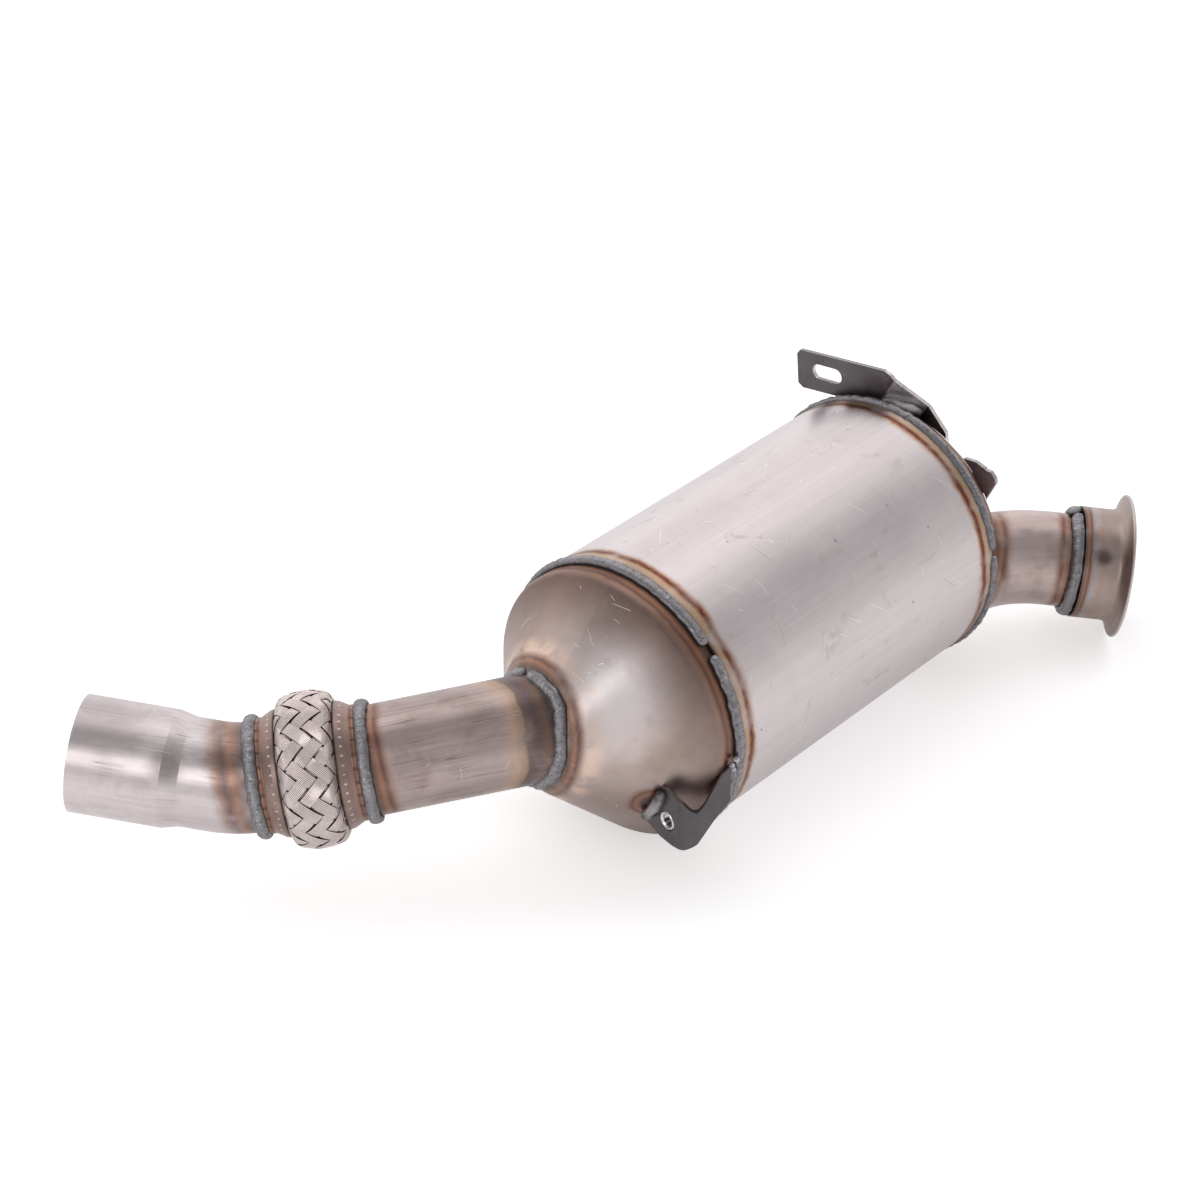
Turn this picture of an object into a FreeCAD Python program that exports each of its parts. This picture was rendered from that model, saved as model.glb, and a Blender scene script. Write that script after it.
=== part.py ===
import FreeCAD, Part
import math
import os

import Sketcher

os.makedirs("parts", exist_ok=True)

V = FreeCAD.Vector
doc = FreeCAD.newDocument("particulate_filter")

# Driving sizes, in millimetres and degrees
SIZES = [
    ("can_radius", "77.5", "outer radius of the can"),
    ("can_length", "216.7", "length of the can between its two seams"),
    ("can_wall", "1.5", "sheet of the can"),
    ("seam_shift", "1.5", "from the can's edge to the middle of its seam weld"),
    ("fit_gap", "0.3", "clearance between pieces that slide into each other"),
    ("mat_thickness", "3.6", "thickness of the mat between can and filter"),
    ("brick_end_gap", "19.5", "space between a seam and the filter's end"),
    ("mat_end_gap", "28", "space between a seam and the mat's end"),
    ("cone_wall", "1.5", "sheet of the end cones"),
    ("collar_lap", "12", "how far a cone's collar reaches into the can"),
    ("collar_end", "9", "how far the collar stands out of the can"),
    ("inlet_tuck", "5.5", "how much deeper the inlet cone sits in the can"),
    ("knuckle_radius", "8", "outer bend between collar and cone"),
    ("cone_slope", "43.5", "slope of the cone's side to its axis"),
    ("nose_end", "69", "height of the cone's nose over the seam"),
    ("nose_radius", "24", "outer bend between cone and nose"),
    ("seam_width", "5.2", "width of the seam weld beside the can's edge"),
    ("seam_lap", "2.2", "width of the seam weld on the can"),
    ("seam_height", "0.9", "height of the seam weld over the can"),
    ("pipe_radius", "28.5", "outer radius of the outlet pipe"),
    ("pipe_wall", "1.5", "wall of the pipes"),
    ("outlet_meet", "43.4", "where the outlet pipe's axis meets the can's"),
    ("outlet_lift", "7.2", "height of that place over the can's axis"),
    ("outlet_yaw", "42", "turn of the outlet pipe from the can's axis"),
    ("outlet_dip", "9.5", "fall of the outlet pipe"),
    ("outlet_end", "104.8", "end of the outlet pipe from that place"),
    ("tail_yaw", "56.2", "turn of the tail pipe from the can's axis"),
    ("tail_rise", "6.15", "rise of the tail pipe"),
    ("tail_share", "0.165", "how much of the turn is at the flex's rear end"),
    ("tail_bend", "76", "bend radius of the tail pipe"),
    ("tail_straight", "13.2", "straight run before the socket's taper"),
    ("socket_taper", "9", "length of the taper of the socket"),
    ("socket_length", "47.9", "length of the socket"),
    ("socket_radius", "30.7", "outer radius of the socket"),
    ("root_bead", "3.4", "radius of the welds round the pipe roots"),
    ("flex_half", "28", "half length of the flexible joint"),
    ("sleeve_half", "14.8", "half length of the braided sleeve"),
    ("sleeve_radius", "40.6", "outer radius of the braided sleeve"),
    ("sleeve_end_radius", "33.4", "outer radius at the sleeve's ends"),
    ("sleeve_crown", "8", "half width of the sleeve's crown"),
    ("sleeve_fall", "1.1", "fall of the crown at its edges"),
    ("sleeve_wall", "1", "wall under the braid's ribbons"),
    ("ribbon_height", "0.7", "how far the ribbons stand out"),
    ("ribbon_gap", "0.9", "gap between two ribbons"),
    ("ribbon_count", "24", "ribbons that run each way"),
    ("ferrule_wall", "1.4", "sheet of the flex's end collars"),
    ("ferrule_neck", "5.5", "straight length of a collar"),
    ("ferrule_flare", "33.2", "outer radius of a collar's flared lip"),
    ("bellows_wall", "0.6", "sheet of the bellows"),
    ("bellows_crest", "35.6", "outer radius of the bellows' crests"),
    ("bellows_root", "31", "outer radius of the bellows' roots"),
    ("liner_radius", "26", "outer radius of the flex's liner"),
    ("liner_wall", "0.7", "sheet of the liner"),
    ("liner_half", "34", "half length of the liner"),
    ("bead_reach", "3.2", "reach of a pipe weld to each side of its joint"),
    ("bead_height", "1.9", "height of a pipe weld"),
    ("elbow_radius", "27", "outer radius of the inlet elbow"),
    ("elbow_bend", "70", "bend radius of the elbow"),
    ("elbow_turn", "42.7", "turn of the elbow"),
    ("elbow_roll", "-8.6", "tilt of the elbow's plane"),
    ("elbow_lead", "30", "straight run of the elbow inside the cone"),
    ("inlet_reach", "108.6", "flange face beyond the inlet seam"),
    ("inlet_side", "94.1", "flange centre to the side of the can's axis"),
    ("inlet_drop", "38.8", "flange centre below the can's axis"),
    ("inlet_yaw", "50.4", "turn of the flange from the can's axis"),
    ("inlet_dip", "6.1", "fall of the flange's axis"),
    ("flange_run", "42", "straight length from the elbow to the flange face"),
    ("flange_radius", "41.3", "outer radius of the clamp flange"),
    ("flange_rim", "1.6", "thickness of the flange's rim"),
    ("flange_slope", "8", "length of the flange's hollow back"),
    ("flange_neck", "32.1", "outer radius of the flange's neck"),
    ("flange_length", "27", "length of flange and neck"),
    ("flange_bead", "6.8", "width of the weld behind the neck"),
    ("plate", "2.5", "sheet of the brackets"),
    ("lower_stand", "31", "lower bracket's plate in front of the outlet seam"),
    ("lower_side", "72.7", "lower bracket's leg to the side of the axis"),
    ("lower_bend", "5.5", "inner bend radius of the lower bracket"),
    ("lower_turn", "9", "turn of the lower bracket's front plate"),
    ("lower_end", "8.2", "end of the lower bracket's leg in front of the seam"),
    ("lower_hole", "5.75", "radius of the lower bracket's hole"),
    ("hole_side", "58", "hole to the side of the can's axis"),
    ("hole_drop", "33", "hole below the can's axis"),
    ("nut_thread", "3.4", "radius of the threaded insert's bore"),
    ("nut_back", "2", "how far the insert stands behind the plate"),
    ("upper_stand", "7.8", "upper bracket's plate beyond the inlet seam"),
    ("slot_side", "48", "slot to the side of the can's axis"),
    ("slot_rise", "77.5", "slot above the can's axis"),
    ("slot_half_width", "4.5", "half width of the slot"),
    ("slot_length", "20.5", "length of the slot over its ends"),
    ("slot_tilt", "7", "tilt of the slot and its tab"),
    ("ear_stand", "16.3", "rear ear beyond the inlet seam"),
    ("bracket_bead", "2.6", "radius of the bracket welds"),
    ("side_bead", "1.9", "radius of the weld on the lower bracket's leg"),
    ("fold_tilt", "28.3", "tilt of the upper bracket's folds"),
]

sheet = doc.addObject("Spreadsheet::Sheet", "Sheet")
for row, (alias, text, note) in enumerate(SIZES, start=1):
    sheet.set("A%d" % row, alias)
    sheet.set("B%d" % row, text)
    sheet.set("C%d" % row, note)
    sheet.setAlias("B%d" % row, alias)
doc.recompute()
size = {alias: float(sheet.get(alias)) for alias, text, note in SIZES}


def total(text):
    """Value of a sum such as can_radius - 2*can_wall."""
    value = 0.0
    sign = 1.0
    for word in text.split():
        if word in ("+", "-"):
            sign = 1.0 if word == "+" else -1.0
            continue
        term = sign
        for factor in word.split("*"):
            term *= float(factor) if factor[0].isdigit() else size[factor]
        value += term
        sign = 1.0
    return value


def bound(text):
    """The same sum with its names taken from the sheet."""
    words = []
    for word in text.split():
        factors = [f if f[0].isdigit() or f in "+-" else "Sheet." + f for f in word.split("*")]
        words.append("*".join(factors))
    return " ".join(words)


def read(entry):
    return entry[0] if isinstance(entry, tuple) else total(entry)


def rule(entry):
    return entry[1] if isinstance(entry, tuple) else bound(entry)


def origin_plane(body, role):
    for feature in body.Origin.OriginFeatures:
        if feature.Role == role:
            return feature
    raise RuntimeError("no plane " + role)


def fix(sketch, kind, geo, pos, entry):
    """Holds one coordinate of a point at a value from the sheet."""
    if entry == "0":
        axis = -2 if kind == "DistanceX" else -1
        sketch.addConstraint(Sketcher.Constraint("PointOnObject", geo, pos, axis))
        return
    index = sketch.addConstraint(Sketcher.Constraint(kind, -1, 1, geo, pos, read(entry)))
    sketch.setExpression("Constraints[%d]" % index, rule(entry))


def draw_outline(sketch, corners):
    """Closed outline. A corner is (x, y), or (x, y, radius, middle) where an arc leads to the next one."""
    count = len(corners)
    ends = []
    for number, corner in enumerate(corners):
        after = corners[(number + 1) % count]
        start = V(read(corner[0]), read(corner[1]), 0)
        end = V(read(after[0]), read(after[1]), 0)
        if len(corner) == 2:
            sketch.addGeometry(Part.LineSegment(start, end), False)
            ends.append((1, 2))
            continue
        middle = V(corner[3][0], corner[3][1], 0)
        if (middle - start).cross(end - start).z > 0:
            sketch.addGeometry(Part.Arc(start, middle, end), False)
            ends.append((1, 2))
        else:
            sketch.addGeometry(Part.Arc(end, middle, start), False)
            ends.append((2, 1))
    for number in range(count):
        after = (number + 1) % count
        sketch.addConstraint(
            Sketcher.Constraint("Coincident", number, ends[number][1], after, ends[after][0]))
    for number, corner in enumerate(corners):
        fix(sketch, "DistanceX", number, ends[number][0], corner[0])
        fix(sketch, "DistanceY", number, ends[number][0], corner[1])
        if len(corner) == 4 and corner[2] is not None:
            index = sketch.addConstraint(Sketcher.Constraint("Radius", number, read(corner[2])))
            sketch.setExpression("Constraints[%d]" % index, rule(corner[2]))


def new_body(label, place):
    body = doc.addObject("PartDesign::Body", label)
    body.Label = label
    body.Placement = place
    return body


def new_sketch(body, role, name):
    sketch = body.newObject("Sketcher::SketchObject", body.Name + "_" + name)
    sketch.AttachmentSupport = (origin_plane(body, role), "")
    sketch.MapMode = "FlatFace"
    return sketch


def turned(label, corners, place):
    """Body turned about its own X axis from an outline of (x, radius) corners."""
    body = new_body(label, place)
    sketch = new_sketch(body, "XZ_Plane", "section")
    draw_outline(sketch, corners)
    turn = body.newObject("PartDesign::Revolution", label + "_turn")
    turn.Profile = sketch
    turn.ReferenceAxis = (sketch, ["H_Axis"])
    turn.Angle = 360
    return body


def bent(label, bend, radius, bore, turn_name, place):
    """Pipe bend: a round section turned about the body's Z axis, from +X towards +Y."""
    body = new_body(label, place)
    sketch = new_sketch(body, "XZ_Plane", "section")
    rings = [radius] if bore is None else [radius, bore]
    for number, ring in enumerate(rings):
        middle = V(total(bend), 0, 0)
        sketch.addGeometry(Part.Circle(middle, V(0, 0, 1), total(ring)), False)
        fix(sketch, "DistanceX", number, 3, bend)
        fix(sketch, "DistanceY", number, 3, "0")
        index = sketch.addConstraint(Sketcher.Constraint("Radius", number, total(ring)))
        sketch.setExpression("Constraints[%d]" % index, bound(ring))
    turn = body.newObject("PartDesign::Revolution", label + "_turn")
    turn.Profile = sketch
    turn.ReferenceAxis = (sketch, ["V_Axis"])
    turn.Angle = size[turn_name]
    turn.setExpression("Angle", "Sheet." + turn_name)
    return body


def padded(label, role, corners, length, place, reverse=False, symmetric=False):
    """Body padded from an outline drawn on one of its origin planes."""
    body = new_body(label, place)
    sketch = new_sketch(body, role, "outline")
    draw_outline(sketch, corners)
    pad = body.newObject("PartDesign::Pad", label + "_pad")
    pad.Profile = sketch
    pad.Length = total(length)
    pad.setExpression("Length", bound(length))
    pad.Reversed = reverse
    pad.Midplane = symmetric
    return body


def cut(label, base, tool):
    result = doc.addObject("Part::Cut", label)
    result.Label = label
    result.Base = base
    result.Tool = tool
    return result


def common(label, shapes):
    result = doc.addObject("Part::MultiCommon", label)
    result.Label = label
    result.Shapes = shapes
    return result


def fused(label, shapes, refine=True):
    result = doc.addObject("Part::MultiFuse", label)
    result.Label = label
    result.Shapes = shapes
    result.Refine = refine
    return result


def unit(vector):
    return vector * (1.0 / vector.Length)


def aim(point, along, up=V(0, 0, 1)):
    """Placement with its X axis along a direction."""
    x = unit(along)
    z = unit(up - x * up.dot(x))
    y = z.cross(x)
    return FreeCAD.Placement(point, FreeCAD.Rotation(x, y, z, "XYZ"))


def bend_place(start, along, toward, bend):
    """Placement of a pipe bend that starts at a point and turns towards a side."""
    y = unit(along)
    x = unit(y * toward.dot(y) - toward)
    z = x.cross(y)
    return FreeCAD.Placement(start - x * bend, FreeCAD.Rotation(x, y, z, "XYZ"))


def heading(yaw, rise, back=1.0):
    """Direction from its turn about the vertical and its rise."""
    a = math.radians(yaw)
    b = math.radians(rise)
    return V(back * math.cos(b) * math.cos(a), math.cos(b) * math.sin(a), math.sin(b))


# Main places: the frame's origin is the centre of the inlet flange's face, X runs along the can
seam_shift = size["seam_shift"]
inlet_end = size["can_length"] + seam_shift
origin = V(inlet_end + size["inlet_reach"], -size["inlet_side"], -size["inlet_drop"])
frame_place = aim(origin * -1, V(1, 0, 0))
can_place = aim(V(seam_shift, 0, 0) - origin, V(1, 0, 0))
inlet_seam = aim(V(inlet_end, 0, 0) - origin, V(1, 0, 0))
outlet_seam = aim(V(seam_shift, 0, 0) - origin, V(-1, 0, 0))
outlet_cone_place = aim(origin * -1, V(-1, 0, 0))
inlet_cone_place = aim(V(inlet_end + seam_shift - size["inlet_tuck"], 0, 0) - origin, V(1, 0, 0))
flange_axis = heading(-size["inlet_yaw"], -size["inlet_dip"])
flange_place = aim(V(0, 0, 0), flange_axis * -1)
outlet_axis = heading(size["outlet_yaw"], -size["outlet_dip"], back=-1.0)
tail_axis = heading(size["tail_yaw"], size["tail_rise"], back=-1.0)
outlet_start = V(-size["outlet_meet"], 0, size["outlet_lift"]) - origin
whole_turn = math.acos(outlet_axis.dot(tail_axis))
near_part = math.sin((1 - size["tail_share"]) * whole_turn) / math.sin(whole_turn)
far_part = math.sin(size["tail_share"] * whole_turn) / math.sin(whole_turn)
flex_axis = unit(outlet_axis * near_part + tail_axis * far_part)
outlet_place = aim(outlet_start, outlet_axis)
flex_start = outlet_start + outlet_axis * size["outlet_end"]
flex_centre = flex_start + flex_axis * size["flex_half"]
flex_place = aim(flex_centre, flex_axis)

# Can, filter and mat
can_shell = turned("can_shell", [
    ("0", "can_radius"),
    ("can_length", "can_radius"),
    ("can_length", "can_radius - can_wall"),
    ("0", "can_radius - can_wall"),
], can_place)
MAT_BORE = "can_radius - can_wall - fit_gap - mat_thickness"
BRICK_RADIUS = MAT_BORE + " - fit_gap"
filter_monolith = turned("filter_monolith", [
    ("brick_end_gap", "0"),
    ("brick_end_gap", BRICK_RADIUS),
    ("can_length - brick_end_gap", BRICK_RADIUS),
    ("can_length - brick_end_gap", "0"),
], can_place)
support_mat = turned("support_mat", [
    ("mat_end_gap", MAT_BORE),
    ("mat_end_gap", MAT_BORE + " + mat_thickness"),
    ("can_length - mat_end_gap", MAT_BORE + " + mat_thickness"),
    ("can_length - mat_end_gap", MAT_BORE),
], can_place)

# End cones: collar, knuckle, straight cone and rounded nose
slope = math.radians(size["cone_slope"])
collar_radius = total("can_radius - can_wall - fit_gap")
nose_centre = size["nose_end"] - size["nose_radius"]
knuckle_centre = collar_radius - size["knuckle_radius"]
fall = (nose_centre - size["collar_end"]) * math.sin(slope)
nose_flat = knuckle_centre + (size["knuckle_radius"] - size["nose_radius"] - fall) / math.cos(slope)
COLLAR = "(Sheet.can_radius - Sheet.can_wall - Sheet.fit_gap)"
NOSE_FLAT = (
    "(" + COLLAR + " - Sheet.knuckle_radius + (Sheet.knuckle_radius - Sheet.nose_radius"
    " - (Sheet.nose_end - Sheet.nose_radius - Sheet.collar_end)*sin(Sheet.cone_slope))"
    "/cos(Sheet.cone_slope))")


def cone_path(inside):
    """Corners of the cone's skin at a depth inside its outer face, from collar to nose."""
    depth = total(inside)
    deep = "(" + bound(inside) + ")"
    knuckle = size["knuckle_radius"] - depth
    nose = size["nose_radius"] - depth
    half = (math.pi / 2 + slope) / 2
    first = (size["collar_end"] + knuckle * math.sin(slope), knuckle_centre + knuckle * math.cos(slope))
    second = (nose_centre + nose * math.sin(slope), nose_flat + nose * math.cos(slope))
    knuckle_rule = "(Sheet.knuckle_radius - " + deep + ")"
    nose_rule = "(Sheet.nose_radius - " + deep + ")"
    edge = (collar_radius - depth, COLLAR + " - " + deep)
    first_x = (first[0], "Sheet.collar_end + " + knuckle_rule + "*sin(Sheet.cone_slope)")
    first_y = (first[1], COLLAR + " - Sheet.knuckle_radius + " + knuckle_rule + "*cos(Sheet.cone_slope)")
    second_x = (second[0], "Sheet.nose_end - Sheet.nose_radius + " + nose_rule + "*sin(Sheet.cone_slope)")
    second_y = (second[1], NOSE_FLAT + " + " + nose_rule + "*cos(Sheet.cone_slope)")
    tip = (size["nose_end"] - depth, "Sheet.nose_end - " + deep)
    knuckle_mid = (
        size["collar_end"] + knuckle * math.sin(slope / 2),
        knuckle_centre + knuckle * math.cos(slope / 2))
    nose_mid = (nose_centre + nose * math.sin(half), nose_flat + nose * math.cos(half))
    return [
        ("0 - collar_lap", edge),
        ("collar_end", edge, (knuckle, knuckle_rule), knuckle_mid),
        (first_x, first_y),
        (second_x, second_y, (nose, nose_rule), nose_mid),
        (tip, (nose_flat, NOSE_FLAT)),
        (tip, "0"),
    ]


def backwards(path):
    """The same corners in the other order, with each arc kept on its own edge."""
    result = []
    count = len(path)
    for number in range(count - 1, -1, -1):
        corner = path[number]
        before = path[number - 1] if number else None
        if before is not None and len(before) == 4:
            result.append((corner[0], corner[1], before[2], before[3]))
        else:
            result.append((corner[0], corner[1]))
    return result


def cone_skin(label, place):
    return turned(label, cone_path("0") + backwards(cone_path("cone_wall")), place)


def cone_block(label, inside, place):
    return turned(label, cone_path(inside) + [("0 - collar_lap", "0")], place)


outlet_skin = cone_skin("outlet_cone_skin", outlet_cone_place)
inlet_skin = cone_skin("inlet_cone_skin", inlet_cone_place)
outlet_block = cone_block("outlet_cone_block", "0", outlet_cone_place)
inlet_block = cone_block("inlet_cone_block", "0", inlet_cone_place)
outlet_hollow = cone_block("outlet_cone_hollow", "2*cone_wall", outlet_cone_place)
inlet_hollow = cone_block("inlet_cone_hollow", "2*cone_wall", inlet_cone_place)
outlet_seat = cone_block("outlet_seat", "0 - fit_gap", outlet_cone_place)
inlet_seat = cone_block("inlet_seat", "0 - fit_gap", inlet_cone_place)

# Seam welds: each bead lies on the collar, against the can's edge and over it
SEAM = [
    ("0 - seam_lap", "can_radius + fit_gap"),
    ("0 - 0.6*seam_lap", "can_radius + seam_height"),
    ("0.35*seam_width", "can_radius + seam_height"),
    ("0.75*seam_width", "can_radius + 0.4*seam_height"),
    ("seam_width", "can_radius - 0.5*can_wall"),
    ("seam_width", "can_radius - can_wall"),
    ("fit_gap", "can_radius - can_wall"),
    ("fit_gap", "can_radius + fit_gap"),
]
outlet_seam_weld = turned("outlet_seam_weld", SEAM, outlet_seam)
inlet_seam_weld = turned("inlet_seam_weld", SEAM, inlet_seam)


def rod(label, radius, start, end, place):
    return turned(label, [(start, "0"), (start, radius), (end, radius), (end, "0")], place)


# Outlet pipe, its root weld and the cone around it
outlet_rod = rod("outlet_rod", "pipe_radius", "0", "outlet_end", outlet_place)
outlet_wide_rod = rod("outlet_wide_rod", "pipe_radius + fit_gap", "0", "outlet_end", outlet_place)
outlet_cone = cut("outlet_cone", outlet_skin, outlet_wide_rod)
outlet_tube = turned("outlet_tube", [
    ("0", "pipe_radius - pipe_wall"),
    ("0", "pipe_radius"),
    ("outlet_end + pipe_radius", "pipe_radius"),
    ("outlet_end + pipe_radius", "pipe_radius - pipe_wall"),
], outlet_place)
flex_block = rod("flex_block", "2*pipe_radius", "0 - flex_half", "flex_half", flex_place)
outlet_trimmed = cut("outlet_trimmed", outlet_tube, flex_block)
outlet_pipe = cut("outlet_pipe", outlet_trimmed, outlet_hollow)


def root_bead(label, block, pipe, place, gap_angle):
    """Weld along the line where a pipe leaves a cone, with a short gap where it starts and ends."""
    doc.recompute()
    line = block.Shape.section(pipe.Shape)
    loop = max((Part.Wire(edges) for edges in Part.sortEdges(line.Edges)), key=lambda w: w.Length)
    points = loop.discretize(37)[:-1]
    back = place.inverse()

    def off_gap(point):
        here = back.multVec(point)
        return abs((math.degrees(math.atan2(here.y, here.z)) - gap_angle + 180) % 360 - 180)

    first = min(range(len(points)), key=lambda n: off_gap(points[n]))
    points = points[first + 1:] + points[:first]
    curve = Part.BSplineCurve()
    curve.interpolate(Points=points)
    spine = doc.addObject("Part::Feature", label + "_line")
    spine.Shape = Part.Wire([curve.toShape()])
    ring = doc.addObject("Part::Circle", label + "_ring")
    ring.Radius = size["root_bead"]
    ring.setExpression("Radius", "Sheet.root_bead")
    way = curve.tangent(curve.FirstParameter)[0]
    ring.Placement = FreeCAD.Placement(points[0], FreeCAD.Rotation(V(0, 0, 1), way))
    sweep = doc.addObject("Part::Sweep", label + "_sweep")
    sweep.Sections = [ring]
    sweep.Spine = (spine, ["Edge1"])
    sweep.Solid = True
    sweep.Frenet = False
    shapes = [sweep]
    for number, point in enumerate([points[0], points[-1]]):
        end = doc.addObject("Part::Sphere", "%s_end_%d" % (label, number))
        end.Radius = size["root_bead"]
        end.setExpression("Radius", "Sheet.root_bead")
        end.Placement = FreeCAD.Placement(point, FreeCAD.Rotation(V(0, 0, 1), way))
        shapes.append(end)
    return fused(label, shapes)


outlet_bead = root_bead("outlet_root", outlet_block, outlet_rod, outlet_place, 25)
outlet_bead_open = cut("outlet_bead_open", outlet_bead, outlet_seat)
outlet_pipe_weld = cut("outlet_pipe_weld", outlet_bead_open, outlet_wide_rod)

# Flexible joint, end to end along its own axis
FERRULE = [
    ("0 - flex_half + fit_gap", "pipe_radius"),
    ("0 - flex_half + fit_gap", "pipe_radius + ferrule_wall"),
    ("0 - flex_half + ferrule_neck", "pipe_radius + ferrule_wall"),
    ("0 - sleeve_half - 2*ferrule_wall", "ferrule_flare - 0.4*ferrule_wall"),
    ("0 - sleeve_half - fit_gap", "ferrule_flare"),
    ("0 - sleeve_half - fit_gap", "ferrule_flare - ferrule_wall"),
    ("0 - sleeve_half - 2*ferrule_wall", "ferrule_flare - 1.4*ferrule_wall"),
    ("0 - flex_half + ferrule_neck", "pipe_radius"),
]
other_way = aim(flex_centre, flex_axis * -1)
flex_rear_collar = turned("flex_rear_collar", FERRULE, flex_place)
flex_front_collar = turned("flex_front_collar", FERRULE, other_way)
BEAD = [
    ("0 - flex_half - bead_reach", "pipe_radius + 2*fit_gap"),
    ("0 - flex_half - 0.7*bead_reach", "pipe_radius + ferrule_wall"),
    ("0 - flex_half - 0.3*bead_reach", "pipe_radius + fit_gap + bead_height + 0.4*ferrule_wall"),
    ("0 - flex_half + 0.5*bead_reach", "pipe_radius + ferrule_wall + bead_height"),
    ("0 - flex_half + bead_reach", "pipe_radius + ferrule_wall + 0.6*bead_height"),
    ("0 - flex_half + 1.3*bead_reach", "pipe_radius + ferrule_wall + fit_gap"),
    ("0 - flex_half", "pipe_radius + ferrule_wall + fit_gap"),
    ("0 - flex_half", "pipe_radius + 2*fit_gap"),
]
flex_rear_weld = turned("flex_rear_weld", BEAD, flex_place)
flex_front_weld = turned("flex_front_weld", BEAD, other_way)

flex_liner = turned("flex_liner", [
    ("0 - liner_half", "liner_radius - liner_wall"),
    ("0 - liner_half", "liner_radius"),
    ("liner_half", "liner_radius"),
    ("liner_half", "liner_radius - liner_wall"),
], flex_place)

# Bellows with round crests, inside the braid
NECK = total("pipe_radius - fit_gap")
fold_count = 4
fold_side = size["sleeve_half"] - 3.5
fold_pitch = 2 * fold_side / fold_count


def bellows_points(depth):
    """Corners of the bellows' skin, from end to end."""
    reach = size["flex_half"] - 2.0
    points = [(-reach, NECK - depth), (-fold_side - 1.5, NECK - depth)]
    for fold in range(fold_count):
        start = -fold_side + fold * fold_pitch
        low = size["bellows_root"] - depth
        high = size["bellows_crest"] - depth
        lean = 0.18 * fold_pitch
        points += [(start + depth * 0.5, low), (start + lean + depth, high)]
        points += [(start + fold_pitch - lean - depth, high), (start + fold_pitch - depth * 0.5, low)]
    points += [(fold_side + 1.5, NECK - depth), (reach, NECK - depth)]
    return points


skin = [V(x, 0, r) for x, r in bellows_points(0.0)]
skin += [V(x, 0, r) for x, r in reversed(bellows_points(size["bellows_wall"]))]
skin_wire = Part.makePolygon(skin + [skin[0]])
flex_bellows = doc.addObject("Part::Feature", "flex_bellows")
flex_bellows.Label = "flex_bellows"
flex_bellows.Shape = Part.Face(skin_wire).revolve(V(0, 0, 0), V(1, 0, 0), 360)
flex_bellows.Placement = flex_place

# Braided sleeve: a barrel wall that carries flat ribbons, two over and two under
crown_radius = size["sleeve_radius"]


def sleeve_path(inside):
    """Corners of the sleeve's skin at a depth inside the ribbons' outer face."""
    depth = total(inside)
    top = crown_radius - depth
    edge = crown_radius - size["sleeve_fall"] - depth
    low = size["sleeve_end_radius"] - depth
    crown = size["sleeve_crown"]
    half = size["sleeve_half"]
    drop = edge - low
    width = half - crown
    shoulder = (width * width + drop * drop) / (2 * drop) * 1.08
    chord = math.hypot(width, drop)
    bulge = shoulder - math.sqrt(shoulder * shoulder - chord * chord / 4)
    mid = (crown + width / 2 + bulge * drop / chord, (edge + low) / 2 + bulge * width / chord)
    arch = (crown * crown + size["sleeve_fall"] ** 2) / (2 * size["sleeve_fall"])
    rim = (edge, "Sheet.sleeve_radius - Sheet.sleeve_fall - (" + bound(inside) + ")")
    lip = (low, "Sheet.sleeve_end_radius - (" + bound(inside) + ")")
    bend = (shoulder, "%.6f" % shoulder)
    return [
        ("0 - sleeve_half", lip, bend, (-mid[0], mid[1])),
        ("0 - sleeve_crown", rim, (arch, "%.6f" % arch), (0, top)),
        ("sleeve_crown", rim, bend, mid),
        ("sleeve_half", lip),
    ]


sleeve_wall = turned("sleeve_wall_ring", sleeve_path("ribbon_height") + backwards(
    sleeve_path("ribbon_height + sleeve_wall")), flex_place)
ribbon_layer = turned("ribbon_layer", sleeve_path("0") + backwards(
    sleeve_path("ribbon_height + 0.3*sleeve_wall")), flex_place)

ribbon_total = int(round(size["ribbon_count"]))
around = 2 * math.pi * crown_radius / ribbon_total
cell = around / math.sqrt(2)
ribbon_length = 2 * cell - size["ribbon_gap"]
ribbon_width = cell - size["ribbon_gap"]
ribbons = []
for band in range(2):
    lean = 45 if band == 0 else -45
    for step in range(ribbon_total // 2):
        for column in range(-2, 2):
            along = (column + 0.25) * around if band == 0 else (column + 0.75) * around
            if abs(along) > size["sleeve_half"] + 0.5 * around:
                continue
            turn = 360.0 / (ribbon_total // 2) * (step + 0.5 * band)
            piece = doc.addObject("Part::Box", "ribbon_piece")
            piece.Length = ribbon_length
            piece.Width = ribbon_width
            piece.Height = 0.3 * crown_radius
            centred = FreeCAD.Placement(
                V(-ribbon_length / 2, -ribbon_width / 2, 0.8 * crown_radius), FreeCAD.Rotation())
            leaned = FreeCAD.Placement(V(along, 0, 0), FreeCAD.Rotation(V(0, 0, 1), lean))
            turned_place = FreeCAD.Placement(V(0, 0, 0), FreeCAD.Rotation(V(1, 0, 0), turn))
            piece.Placement = flex_place * turned_place * leaned * centred
            ribbons.append(piece)
ribbon_group = doc.addObject("Part::Compound", "ribbon_group")
ribbon_group.Links = ribbons
ribbon_faces = common("ribbon_faces", [ribbon_layer, ribbon_group])
flex_braid = fused("flex_braid", [sleeve_wall, ribbon_faces], refine=False)

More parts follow.
